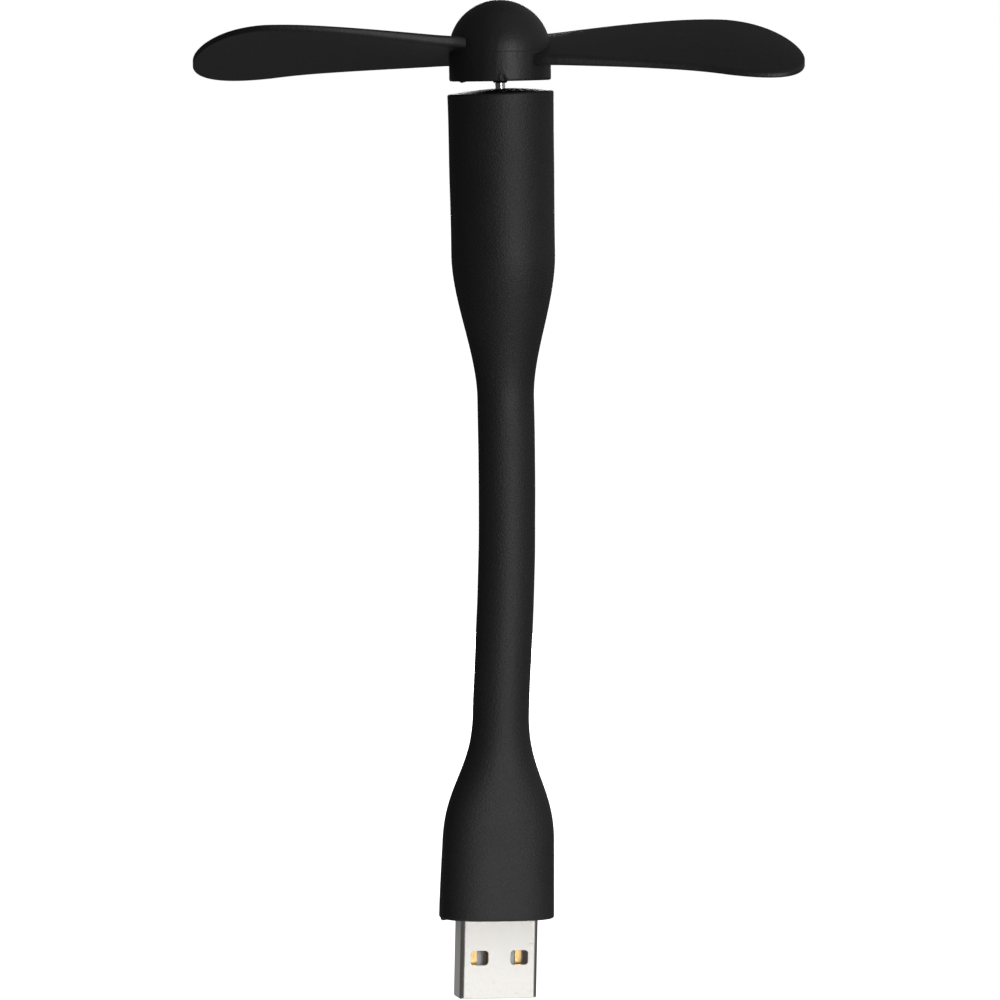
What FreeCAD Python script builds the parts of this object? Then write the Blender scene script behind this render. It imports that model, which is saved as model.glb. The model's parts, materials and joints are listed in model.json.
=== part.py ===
import FreeCAD, Part
import math
import os
import re

import Sketcher

# A stick fan: a type A plug, a soft base, a neck that bends and stays put, and a head with a small motor
# that turns a two-bladed soft propeller.
# Frame, in millimetres: the origin is the middle of the base's shoulder, where the plug leaves it.
# +Z runs up the neck, +X along the plug's width, and -Y is the side where the contacts face.
# The neck is one soft moulding on the real fan. Here it is cut into short links on crossed hinges, and
# the lowest link hangs on the base, the highest carries the head. The neck's own rest bend is kept.

V = FreeCAD.Vector
TOUCH = 1e-3  # two places this near each other are the same place
SEAM_TURN = 45  # keeps a wire's seam out of the plane that the wire bends in
STRAIGHT = 1e-4  # a turn under this many radians is no turn
TANGENT_SHARE = 0.45  # the part of the shorter run that an arc takes up
BENDS = 6  # hinges each way: odd ones bend the neck sideways, even ones bend it to the front and back
HINGES = 2 * BENDS
# shares of a length
BASE_WAIST = (0.55, 0.35)  # height of the base's second section, and how much of the draft it has
BASE_TAPER_SHARES = (0.17, 0.33, 0.5, 0.67, 0.84, 1.0)
HEAD_TAPER_SHARES = (0.14, 0.28, 0.42, 0.56, 0.7, 0.85, 1.0)
LEAD_SPREADS = (0.45, 0.75)  # heights in the head where the leads start and stop spreading
HEAD_CHANNEL = 0.54  # depth of the wide channel under the motor's sleeve
HEAD_SLOT = 0.8  # depth of the narrow slot under it
STEM_ROOT = 0.9  # radius in the core's hub where its stems start

SIZES = {
    # plug shell
    "shell_width": 12.0,
    "shell_height": 4.5,
    "shell_wall": 0.3,
    "shell_corner": 0.6,
    "shell_tip_chamfer": 0.12,
    "shell_exposed": 12.1,
    "shell_buried": 6.5,
    "window_width": 2.7,
    "window_length": 2.2,
    "window_pitch": 6.2,
    "window_setback": 5.16,
    # plug inside
    "insulator_gap": 0.03,
    "tongue_setback": 0.5,
    "tongue_face": 0.2,
    "insulator_block": 5.0,
    "contact_width": 1.0,
    "contact_thickness": 0.25,
    "contact_inner": 1.0,
    "contact_outer": 3.5,
    "contact_setback": 0.9,
    "contact_tail": 1.1,
    "solder_diameter": 1.6,
    "solder_length": 1.2,
    "joint_gap": 0.3,
    # base
    "mould_wall": 0.5,
    "mould_top": 13.0,
    "mould_corner": 1.2,
    "base_side_wall": 2.3,
    "base_face_wall": 2.05,
    "base_draft": 0.5,
    "base_straight": 13.2,
    "shoulder_wall": 1.2,
    # neck
    "neck_width": 8.6,
    "neck_depth": 7.0,
    "neck_start": 31.0,
    "neck_end": 78.0,
    "hinge_gap": 0.3,
    "hinge_angle": 8.0,
    # rest bend of each sideways hinge, in degrees, towards +X
    "rest_bend_a": 1.4,
    "rest_bend_b": 0.0,
    "rest_bend_c": -1.3,
    "rest_bend_d": -1.1,
    "rest_bend_e": -0.8,
    "rest_bend_f": -0.5,
    # wires
    "wire_diameter": 1.6,
    "wire_start": 10.2,
    "wire_end": 22.0,
    "lead_diameter": 1.1,
    "lead_offset": 1.9,
    "lead_spread": 3.4,
    "bore_gap": 0.15,
    "channel_gap": 0.35,
    # head, its heights measured up from the last hinge
    "head_length": 48.8,
    "head_taper_start": 1.0,
    "head_taper": 24.0,
    "head_wall": 1.3,
    "head_draft": 0.2,
    "head_flatness": 0.04,
    "sleeve_wall": 0.65,
    "sleeve_floor": 0.8,
    "terminal_room": 5.1,
    "cap_thickness": 1.6,
    "cap_crown": 0.6,
    "cap_rim": 0.45,
    "cap_gap": 0.4,
    "cap_hole_gap": 0.15,
    # motor
    "motor_diameter": 12.0,
    "motor_flat_cut": 1.0,
    "motor_length": 15.0,
    "motor_gap": 0.05,
    "can_wall": 0.5,
    "end_cap_flange": 1.2,
    "end_cap_plug": 1.0,
    "shaft_diameter": 1.5,
    "running_gap": 0.02,
    "shaft_foot": 0.2,
    "bush_diameter": 4.0,
    "bush_flange": 5.0,
    "bush_stand": 1.0,
    "bush_inside": 1.1,
    "rear_bush_diameter": 3.5,
    "magnet_thickness": 1.3,
    "magnet_length": 10.0,
    "magnet_half_angle": 48.0,
    "air_gap": 0.25,
    "core_length": 7.0,
    "core_hub": 1.9,
    "core_drop": 0.75,
    "pole_width": 1.6,
    "shoe_thickness": 0.8,
    "shoe_half_angle": 48.0,
    "coil_width": 3.4,
    "coil_overhang": 0.8,
    "coil_gap": 0.05,
    "commutator_radius": 1.6,
    "segment_thickness": 0.3,
    "segment_half_angle": 56.0,
    "segment_inset": 0.2,
    "commutator_length": 3.0,
    "brush_gap": 0.05,
    "brush_thickness": 0.15,
    "brush_width": 1.0,
    "terminal_width": 1.5,
    "terminal_thickness": 0.4,
    "terminal_length": 3.0,
    "washer_diameter": 2.8,
    "washer_thickness": 0.3,
    # propeller, its heights measured up from the hub's rim
    "propeller_radius": 45.8,
    "propeller_gap": 1.15,
    "hub_radius": 7.65,
    "hub_straight": 4.45,
    "hub_wall": 1.3,
    "boss_diameter": 4.2,
    "boss_tip_diameter": 2.4,
    "boss_drop": 0.35,
    "socket_depth": 7.5,
    "blade_chord": 20.4,
    "blade_middle": 4.45,
    "blade_root_pitch": 13.5,
    "blade_tip_pitch": 20.4,
    "blade_root_thickness": 1.6,
    "blade_tip_thickness": 0.9,
    "blade_camber": 0.5,
    "blade_rest_turn": -14.6,
}

# the blade's outline: share of the radius, and the front and back edges as shares of the widest chord
BLADE_OUTLINE = (
    (0.108, 0.285, 0.285),
    (0.197, 0.338, 0.358),
    (0.329, 0.343, 0.451),
    (0.459, 0.363, 0.515),
    (0.591, 0.392, 0.549),
    (0.688, 0.441, 0.559),
    (0.788, 0.490, 0.515),
    (0.853, 0.505, 0.441),
    (0.918, 0.495, 0.289),
    (0.950, 0.466, 0.162),
    (0.985, 0.363, -0.054),
    (1.000, 0.290, -0.170),
)

# heights that several pieces share
MOTOR_FACE = "(head_length - cap_thickness - cap_gap)"
CAN_BACK = f"({MOTOR_FACE} - motor_length)"
MOTOR_BACK = f"({CAN_BACK} - end_cap_flange)"
SLEEVE_BACK = f"({MOTOR_BACK} - terminal_room)"
BRUSH_SEAT = f"({CAN_BACK} + end_cap_plug)"
TERMINAL_END = f"({MOTOR_BACK} - terminal_length)"
LEAD_TOP = f"({TERMINAL_END} - solder_length)"
TAIL_END = "(shell_buried + contact_tail)"
LEAD_BOTTOM = f"({TAIL_END} + solder_length)"
HUB_RIM = "(head_length + cap_crown + propeller_gap)"
# widths that several pieces share
MOULD_WIDTH = "(shell_width + 2 * mould_wall)"
MOULD_DEPTH = "(shell_height + 2 * mould_wall)"
BASE_WIDTH = f"({MOULD_WIDTH} + 2 * base_side_wall)"
BASE_DEPTH = f"({MOULD_DEPTH} + 2 * base_face_wall)"
SLEEVE_RADIUS = "(motor_diameter / 2 + motor_gap + sleeve_wall)"
HEAD_RADIUS = f"({SLEEVE_RADIUS} + head_wall)"
MOTOR_FLATS = "(motor_diameter - 2 * motor_flat_cut)"
CAN_INSIDE = "(motor_diameter / 2 - can_wall)"
CAN_FLATS = f"({MOTOR_FLATS} - 2 * can_wall)"
CORE_RADIUS = f"({CAN_INSIDE} - motor_gap - magnet_thickness - air_gap)"
SHAFT_RADIUS = "(shaft_diameter / 2)"
BORE_RADIUS = "(shaft_diameter / 2 + running_gap)"

doc = FreeCAD.newDocument("StickFan")
sheet = doc.addObject("Spreadsheet::Sheet", "Sizes")


def fill_sheet():
    """Write each driving size to the sheet, under its own alias."""
    for row, (name, size) in enumerate(SIZES.items(), start=1):
        sheet.set(f"A{row}", name)
        sheet.set(f"B{row}", str(size))
        sheet.setAlias(f"B{row}", name)
    doc.recompute()


def bound(expression):
    """The expression with each size's name led by the sheet's name."""
    return re.sub(r"[a-z_]+", lambda word: f"Sizes.{word[0]}" if word[0] in SIZES else word[0], expression)


def number(expression):
    """The expression's value, from the sheet."""
    return float(sheet.evalExpression(bound(str(expression))))


# ---- helpers for bodies, sketches and features ----


def new_body(label):
    body = doc.addObject("PartDesign::Body", label)
    body.Label = label
    body.AllowCompound = True
    return body


def new_sketch(body, name, plane="XY_Plane", offset="0"):
    """A sketch on one of the body's own planes, moved along the plane's normal by the offset."""
    sketch = body.newObject("Sketcher::SketchObject", name)
    support = next(item for item in body.Origin.OriginFeatures if item.Role == plane)
    sketch.AttachmentSupport = (support, [""])
    sketch.MapMode = "FlatFace"
    sketch.setExpression("AttachmentOffset.Base.z", bound(offset))
    return sketch


def constrain(sketch, expression, kind, *where):
    """Add one dimension and bind it to the expression."""
    index = sketch.addConstraint(Sketcher.Constraint(kind, *where, number(expression)))
    sketch.setExpression(f"Constraints[{index}]", bound(expression))


def pin_point(sketch, geometry, end, x, y):
    """Fix a point of the geometry at x, y from the sketch's origin."""
    constrain(sketch, x, "DistanceX", -1, 1, geometry, end)
    constrain(sketch, y, "DistanceY", -1, 1, geometry, end)


def draw_circle(sketch, radius, x="0", y="0"):
    centre = V(number(x), number(y), 0)
    circle = sketch.addGeometry(Part.Circle(centre, V(0, 0, 1), number(radius)), False)
    pin_point(sketch, circle, 3, x, y)
    constrain(sketch, radius, "Radius", circle)


def draw_ellipse(sketch, width, depth):
    """An ellipse about the origin. The width is the larger size."""
    start = Part.Ellipse(V(0, 0, 0), number(width) / 2, number(depth) / 2)
    ellipse = sketch.addGeometry(start, False)
    sketch.exposeInternalGeometry(ellipse)
    sketch.addConstraint(Sketcher.Constraint("Coincident", ellipse, 3, -1, 1))
    sketch.addConstraint(Sketcher.Constraint("Horizontal", ellipse + 1))
    constrain(sketch, width, "Distance", ellipse + 1)
    constrain(sketch, depth, "Distance", ellipse + 2)


def arc_between(start, end, radius, side):
    """A circular arc from start to end that bulges to the given side of the line between them."""
    chord = end - start
    half = chord.Length / 2
    rise = radius - math.sqrt(max(radius * radius - half * half, 0.0))
    across = V(-chord.y, chord.x, 0).normalize() * side
    return Part.Arc(start, (start + end) / 2 + across * rise, end)


def draw_outline(sketch, corners, arcs=None):
    """A closed outline through the corners. arcs maps an edge's index to its (radius, side of the bulge)."""
    arcs = arcs or {}
    points = [V(number(x), number(y), 0) for x, y in corners]
    edges = []
    for index, start in enumerate(points):
        end = points[(index + 1) % len(points)]
        if index not in arcs:
            line = sketch.addGeometry(Part.LineSegment(start, end), False)
            edges.append((line, 1, 2))
            continue
        radius, side = arcs[index]
        # a sketch's arc always runs anticlockwise, so one that bulges to the left is drawn from its end
        first, last, ends = (end, start, (2, 1)) if side > 0 else (start, end, (1, 2))
        arc = sketch.addGeometry(arc_between(first, last, number(radius), -1), False)
        edges.append((arc, *ends))
    for index, (edge, begin, _) in enumerate(edges):
        before, _, finish = edges[index - 1]
        sketch.addConstraint(Sketcher.Constraint("Coincident", before, finish, edge, begin))
        pin_point(sketch, edge, begin, *corners[index])
    for index, (radius, _) in arcs.items():
        constrain(sketch, radius, "Radius", edges[index][0])


def draw_box(sketch, width, depth, x="0", y="0"):
    """A rectangle of the given width and depth about the point x, y."""
    left, right = f"{x} - ({width}) / 2", f"{x} + ({width}) / 2"
    near, far = f"{y} - ({depth}) / 2", f"{y} + ({depth}) / 2"
    draw_outline(sketch, ((left, near), (right, near), (right, far), (left, far)))


def draw_double_flat(sketch, radius, flats):
    """A circle with two flat sides, the given distance apart along Y."""
    corner = f"sqrt(({radius}) ^ 2 - ({flats}) ^ 2 / 4)"
    half = f"({flats}) / 2"
    corners = ((f"-{corner}", f"-{half}"), (corner, f"-{half}"), (corner, half), (f"-{corner}", half))
    draw_outline(sketch, corners, {1: (radius, -1), 3: (radius, -1)})


def draw_ring_part(sketch, inner, outer, half_angle, middle):
    """A piece of a ring about the origin, from its middle angle to the half angle on both sides."""
    first, last = f"({middle} - {half_angle})", f"({middle} + {half_angle})"
    corners = (
        (f"{inner} * cos({first})", f"{inner} * sin({first})"),
        (f"{outer} * cos({first})", f"{outer} * sin({first})"),
        (f"{outer} * cos({last})", f"{outer} * sin({last})"),
        (f"{inner} * cos({last})", f"{inner} * sin({last})"),
    )
    draw_outline(sketch, corners, {1: (outer, -1), 3: (inner, 1)})


def extrude(body, kind, name, sketch, length, reverse=False, symmetric=False):
    """A pad or a pocket of the sketch. A pocket has to take something away."""
    before = None if kind == "Pad" else body.Tip
    feature = body.newObject(f"PartDesign::{kind}", name)
    feature.Profile = sketch
    feature.setExpression("Length", bound(length))
    feature.Reversed = reverse
    feature.SideType = "Symmetric" if symmetric else "One side"
    doc.recompute()
    if before is not None and feature.Shape.Volume > before.Shape.Volume - 1e-6:
        raise RuntimeError(f"{body.Label}: {name} cut nothing")
    return feature


def pad(body, name, sketch, length, **how):
    return extrude(body, "Pad", name, sketch, length, **how)


def pocket(body, name, sketch, length, **how):
    return extrude(body, "Pocket", name, sketch, length, **how)


def turn(body, kind, name, sketch):
    """A revolution or a groove of the sketch about the body's own Z axis."""
    before = body.Tip.Shape.Volume if kind == "Groove" else None
    feature = body.newObject(f"PartDesign::{kind}", name)
    feature.Profile = sketch
    feature.ReferenceAxis = (sketch, ["V_Axis"])
    feature.Angle = 360
    doc.recompute()
    if before is not None and feature.Shape.Volume > before - 1e-6:
        raise RuntimeError(f"{body.Label}: {name} cut nothing")
    return feature


def loft(body, name, sketches):
    """A loft with straight runs from section to section, so that it can't swing out between them."""
    feature = body.newObject("PartDesign::AdditiveLoft", name)
    feature.Profile = sketches[0]
    feature.Sections = sketches[1:]
    feature.Ruled = True
    doc.recompute()
    return feature


def repeat_round(body, name, features, count):
    """Repeat the features about the body's own Z axis."""
    pattern = body.newObject("PartDesign::PolarPattern", name)
    pattern.Originals = features
    axis = next(item for item in body.Origin.OriginFeatures if item.Role == "Z_Axis")
    pattern.Axis = (axis, [""])
    pattern.Angle = 360
    pattern.Occurrences = count
    body.Tip = pattern
    doc.recompute()
    return pattern


def round_edges(body, kind, name, wanted, size):
    """A fillet or a chamfer on the edges of the tip that wanted() picks."""
    base = body.Tip
    picked = [f"Edge{i}" for i, edge in enumerate(base.Shape.Edges, start=1) if wanted(edge)]
    if not picked:
        raise RuntimeError(f"{body.Label}: {name} found no edge")
    feature = body.newObject(f"PartDesign::{kind}", name)
    feature.Base = (base, picked)
    feature.setExpression("Radius" if kind == "Fillet" else "Size", bound(size))
    doc.recompute()
    return feature


def upright(edge):
    """True for a straight edge along Z."""
    box = edge.BoundBox
    return box.ZLength > TOUCH and box.XLength < TOUCH and box.YLength < TOUCH


def turned_body(label, corners, arcs=None):
    """A body turned about Z from an outline of (radius, height) corners."""
    body = new_body(label)
    sketch = new_sketch(body, f"{label}_outline", "XZ_Plane")
    draw_outline(sketch, corners, arcs)
    turn(body, "Revolution", f"{label}_turned", sketch)
    return body


# ---- the neck's frame ----


def hinge_frames():
    """The placement of each hinge at rest, lowest first. Sideways hinges carry the rest bend."""
    step = number("(neck_end - neck_start)") / HINGES
    place = FreeCAD.Placement(V(0, 0, number("neck_start") + step / 2), FreeCAD.Rotation())
    frames = []
    for index in range(HINGES):
        if index:
            place = place * FreeCAD.Placement(V(0, 0, step), FreeCAD.Rotation())
        if index % 2 == 0:
            bend = number("rest_bend_" + "abcdef"[index // 2])
            place = place * FreeCAD.Placement(V(0, 0, 0), FreeCAD.Rotation(V(0, 1, 0), bend))
        frames.append(place)
    return frames


HINGE_STEP = f"((neck_end - neck_start) / {HINGES})"
FIRST_HINGE = f"(neck_start + {HINGE_STEP} / 2)"


def cut_roof(body, name, plane, height, upward):
    """Slope an end of the neck away from a hinge's ridge, so that it can turn there.

    The ridge lies at the given height, less half the hinge gap. Upward is True on the upper end."""
    side = "-" if upward else "+"
    ridge = f"{height} {side} hinge_gap / 2"
    eave = f"{ridge} {side} neck_width * tan(hinge_angle)"
    far = f"{height} {'+' if upward else '-'} neck_width"
    corners = (
        ("0", ridge),
        ("neck_width", eave),
        ("neck_width", far),
        ("-neck_width", far),
        ("-neck_width", eave),
    )
    sketch = new_sketch(body, f"{name}_outline", plane)
    draw_outline(sketch, corners)
    pocket(body, name, sketch, "3 * neck_width", symmetric=True)


def draw_bores(sketch):
    """Holes for the bend wire and the two leads."""
    draw_circle(sketch, "wire_diameter / 2 + bore_gap")
    for side in ("", "-"):
        draw_circle(sketch, "lead_diameter / 2 + bore_gap", f"{side}lead_offset")


# ---- the plug ----


def make_plug_shell():
    body = new_body("plug_shell")
    length = "shell_exposed + shell_buried"
    sketch = new_sketch(body, "shell_outline", offset="-shell_exposed")
    draw_box(sketch, "shell_width", "shell_height")
    pad(body, "shell_pad", sketch, length)
    round_edges(body, "Fillet", "shell_corners", upright, "shell_corner")
    tip = -number("shell_exposed") + TOUCH

    def at_tip(edge):
        return edge.BoundBox.ZMax < tip

    round_edges(body, "Chamfer", "tip_chamfer", at_tip, "shell_tip_chamfer")
    sketch = new_sketch(body, "mouth_outline", offset="-shell_exposed")
    inside_width, inside_height = "(shell_width - 2 * shell_wall)", "(shell_height - 2 * shell_wall)"
    draw_box(sketch, inside_width, inside_height)
    pocket(body, "mouth", sketch, length, reverse=True)
    reach = number(inside_width) / 2 + TOUCH

    def in_mouth(edge):
        return upright(edge) and edge.BoundBox.XMax < reach and edge.BoundBox.XMin > -reach

    round_edges(body, "Fillet", "mouth_corners", in_mouth, "shell_corner - shell_wall")
    windows = new_sketch(body, "window_outline", "XZ_Plane")
    middle = "window_setback + window_length / 2 - shell_exposed"
    for side in ("", "-"):
        draw_box(windows, "window_width", "window_length", f"{side}window_pitch / 2", middle)
    pocket(body, "windows", windows, "2 * shell_height", symmetric=True)
    return body


def make_plug_insulator():
    """The tongue under the contacts, and the block behind it that closes the shell."""
    body = new_body("plug_insulator")
    inside = "(shell_height / 2 - shell_wall - insulator_gap)"
    width = "shell_width - 2 * shell_wall - 4 * insulator_gap"
    tongue = new_sketch(body, "tongue_outline", offset="tongue_setback - shell_exposed")
    depth = f"({inside} - tongue_face)"
    draw_box(tongue, width, depth, y=f"tongue_face + {depth} / 2")
    pad(body, "tongue", tongue, "shell_exposed + shell_buried - tongue_setback")
    block = new_sketch(body, "block_outline", offset="shell_buried")
    depth = f"({inside} + tongue_face)"
    draw_box(block, width, depth, y=f"tongue_face - {depth} / 2")
    pad(body, "block", block, "insulator_block", reverse=True)
    slots = new_sketch(body, "slot_outline", offset="shell_buried")
    for place in ("-contact_outer", "-contact_inner", "contact_inner", "contact_outer"):
        draw_box(slots, "contact_width", "contact_thickness", place, "tongue_face - contact_thickness / 2")
    pocket(body, "slots", slots, "insulator_block")
    side, face = number(width) / 2 - TOUCH, number(inside) - TOUCH

    def outermost(edge):
        return upright(edge) and abs(edge.BoundBox.XMax) > side and abs(edge.BoundBox.YMax) > face

    round_edges(body, "Fillet", "insulator_corners", outermost, "shell_corner - shell_wall")
    return body


def make_plug_contacts():
    body = new_body("plug_contacts")
    sketch = new_sketch(body, "contact_outline", offset="contact_setback - shell_exposed")
    for place in ("-contact_outer", "-contact_inner", "contact_inner", "contact_outer"):
        draw_box(sketch, "contact_width", "contact_thickness", place, "tongue_face - contact_thickness / 2")
    pad(body, "contact_strips", sketch, f"shell_exposed + {TAIL_END} - contact_setback")
    return body


def make_plug_solder():
    """Solder from the two outer contacts to the leads."""
    body = new_body("plug_solder")
    sketch = new_sketch(body, "solder_outline", offset=TAIL_END)
    for side in ("", "-"):
        draw_circle(sketch, "solder_diameter / 2", f"{side}contact_outer")
    pad(body, "solder_joints", sketch, "solder_length")
    return body


def make_inner_mould():
    """The hard block that holds the shell's back, the joints and the foot of the bend wire."""
    body = new_body("inner_mould")
    sketch = new_sketch(body, "mould_outline", offset="shoulder_wall")
    draw_box(sketch, MOULD_WIDTH, MOULD_DEPTH)
    pad(body, "mould_pad", sketch, "mould_top - shoulder_wall")
    round_edges(body, "Fillet", "mould_corners", upright, "mould_corner")
    seat = new_sketch(body, "seat_outline", offset="shoulder_wall")
    draw_box(seat, "shell_width + 2 * insulator_gap", "shell_height + 2 * insulator_gap")
    pocket(body, "shell_seat", seat, "shell_buried - shoulder_wall", reverse=True)
    room = new_sketch(body, "joint_outline", offset="shell_buried")
    tall = "(solder_diameter + 2 * joint_gap)"
    draw_box(room, f"2 * contact_outer + {tall}", tall)
    pocket(body, "joint_room", room, "contact_tail + solder_length + joint_gap", reverse=True)
    leads = new_sketch(body, "lead_outline", offset="shell_buried")
    for side in ("", "-"):
        draw_circle(leads, "lead_diameter / 2 + bore_gap", f"{side}contact_outer")
    pocket(body, "lead_holes", leads, "mould_top - shell_buried + 1", reverse=True)
    wire = new_sketch(body, "wire_outline", offset="wire_start")
    draw_circle(wire, "wire_diameter / 2 + insulator_gap")
    pocket(body, "wire_hole", wire, "mould_top - wire_start + 1", reverse=True)
    return body


# ---- base and neck ----


def oval_sections(body, name, stations):
    """Oval sketches at (height, width, depth) stations."""
    sketches = []
    for index, (height, width, depth) in enumerate(stations):
        sketch = new_sketch(body, f"{name}_{index}", offset=height)
        draw_ellipse(sketch, width, depth)
        sketches.append(sketch)
    return sketches


def make_base_housing():
    """The soft base: straight at the plug, then an S-shaped taper into the neck."""
    body = new_body("base_housing")
    top_width, top_depth = f"({BASE_WIDTH} - base_draft)", f"({BASE_DEPTH} - base_draft)"
    stations = [
        ("0", BASE_WIDTH, BASE_DEPTH),
        (
            f"base_straight * {BASE_WAIST[0]}",
            f"{BASE_WIDTH} - base_draft * {BASE_WAIST[1]}",
            f"{BASE_DEPTH} - base_draft * {BASE_WAIST[1]}",
        ),
        ("base_straight", top_width, top_depth),
    ]
    for share in BASE_TAPER_SHARES:
        swing = share**0.8
        left = round(1 - swing * swing * (3 - 2 * swing), 4)
        height = f"base_straight + (neck_start - base_straight) * {share}"
        width = f"neck_width + ({top_width} - neck_width) * {left}"
        depth = f"neck_depth + ({top_depth} - neck_depth) * {left}"
        stations.append((height, width, depth))
    stations.append((FIRST_HINGE, "neck_width", "neck_depth"))
    loft(body, "base_loft", oval_sections(body, "base_section", stations))
    cut_roof(body, "base_roof", "XZ_Plane", FIRST_HINGE, upward=True)
    slot = new_sketch(body, "shell_slot_outline")
    draw_box(slot, "shell_width + 2 * insulator_gap", "shell_height + 2 * insulator_gap")
    pocket(body, "shell_slot", slot, "shoulder_wall", reverse=True)
    cavity = new_sketch(body, "cavity_outline", offset="shoulder_wall")
    draw_box(cavity, MOULD_WIDTH, MOULD_DEPTH)
    pocket(body, "cavity", cavity, "mould_top - shoulder_wall", reverse=True)
    reach, bottom = number(MOULD_WIDTH) / 2 - TOUCH, number("shoulder_wall") - TOUCH

    def in_cavity(edge):
        return upright(edge) and abs(edge.BoundBox.XMax) > reach and edge.BoundBox.ZMin > bottom

    round_edges(body, "Fillet", "cavity_corners", in_cavity, "mould_corner")
    channel = new_sketch(body, "channel_outline", offset="mould_top")
    across = "2 * contact_outer + lead_diameter + 2 * channel_gap"
    draw_box(channel, across, "wire_diameter + 2 * channel_gap")
    pocket(body, "channel", channel, "(neck_start - mould_top) / 2", reverse=True)
    bores = new_sketch(body, "bore_outline", offset="mould_top")
    draw_bores(bores)
    pocket(body, "bores", bores, "neck_start", reverse=True)
    return body


def make_neck_link(index, frame):
    """One short length of the neck, from its own hinge up to the next one."""
    label = f"neck_link_{index:02d}"
    body = new_body(label)
    outline = new_sketch(body, f"{label}_oval")
    draw_ellipse(outline, "neck_width", "neck_depth")
    pad(body, f"{label}_pad", outline, HINGE_STEP)
    planes = ("XZ_Plane", "YZ_Plane") if index % 2 else ("YZ_Plane", "XZ_Plane")
    cut_roof(body, f"{label}_foot", planes[0], "0", upward=False)
    cut_roof(body, f"{label}_top", planes[1], HINGE_STEP, upward=True)
    bores = new_sketch(body, f"{label}_bore_outline")
    draw_bores(bores)
    pocket(body, f"{label}_bores", bores, HINGE_STEP, reverse=True)
    body.Placement = frame
    return body


def rounded_wire(points):
    """Straight runs through the points, joined by tangent arcs as large as the shorter run allows."""
    edges, start = [], points[0]
    for before, corner, after in zip(points, points[1:], points[2:]):
        back, ahead = (before - corner), (after - corner)
        turn_angle = math.pi - back.getAngle(ahead)
        if turn_angle < STRAIGHT:
            continue
        tangent = TANGENT_SHARE * min(back.Length, ahead.Length)
        first, last = corner + back.normalize() * tangent, corner + ahead.normalize() * tangent
        to_centre = (back + ahead).normalize()
        radius = tangent / math.tan(turn_angle / 2)
        middle = corner + to_centre * (radius / math.cos(turn_angle / 2) - radius)
        edges.append(Part.LineSegment(start, first).toShape())
        edges.append(Part.Arc(first, middle, last).toShape())
        start = last
    edges.append(Part.LineSegment(start, points[-1]).toShape())
    return Part.Wire(edges)


def make_wire(label, diameter, points):
    """A round wire along the neck's own bent line, which no sketch on a body's planes can follow."""
    path = rounded_wire(points)
    first = path.Edges[0]
    direction = first.tangentAt(first.FirstParameter)
    section = Part.Wire(Part.Circle(points[0], direction, number(diameter) / 2).toShape())
    section.rotate(points[0], direction, SEAM_TURN)
    wire = doc.addObject("Part::Feature", label)
    wire.Label = label
    wire.Shape = path.makePipeShell([section], True, False)
    expected = path.Length * math.pi * number(diameter) ** 2 / 4
    if abs(wire.Shape.Volume / expected - 1) > 0.02:
        raise RuntimeError(f"{label}: the sweep's volume is wrong")
    wire.Placement = FreeCAD.Placement()
    return wire


def neck_route(frames, offset):
    """The points where the neck bends, moved sideways by the offset."""
    side = V(offset, 0, 0)
    return [frame.multVec(side) for frame in frames[::2]]


def make_bend_wire(frames):
    head = frames[-1]
    start, end = V(0, 0, number("wire_start")), head.multVec(V(0, 0, number("wire_end")))
    return make_wire("bend_wire", "wire_diameter", [start, *neck_route(frames, 0), end])


def make_lead(label, side, frames):
    """An insulated lead from the plug's solder joint, up the neck, to the motor's solder joint."""
    head = frames[-1]
    wide, narrow = side * number("contact_outer"), side * number("lead_offset")
    spread = side * number("lead_spread")
    # the route's heights, from the solder joint to where the bores begin, as shares of that length
    bottom, top = number(LEAD_BOTTOM), number("(mould_top + neck_start) / 2")
    rise = number("mould_top") - bottom
    points = [V(wide, 0, bottom), V(wide, 0, bottom + rise), V(narrow, 0, top - number("wire_diameter"))]
    points += neck_route(frames, narrow)
    last = number(LEAD_TOP)
    points.append(head.multVec(V(narrow, 0, last * LEAD_SPREADS[0])))
    points.append(head.multVec(V(spread, 0, last * LEAD_SPREADS[1])))
    points.append(head.multVec(V(spread, 0, last)))
    return make_wire(label, "lead_diameter", points)


# ---- the head's housing ----


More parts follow.
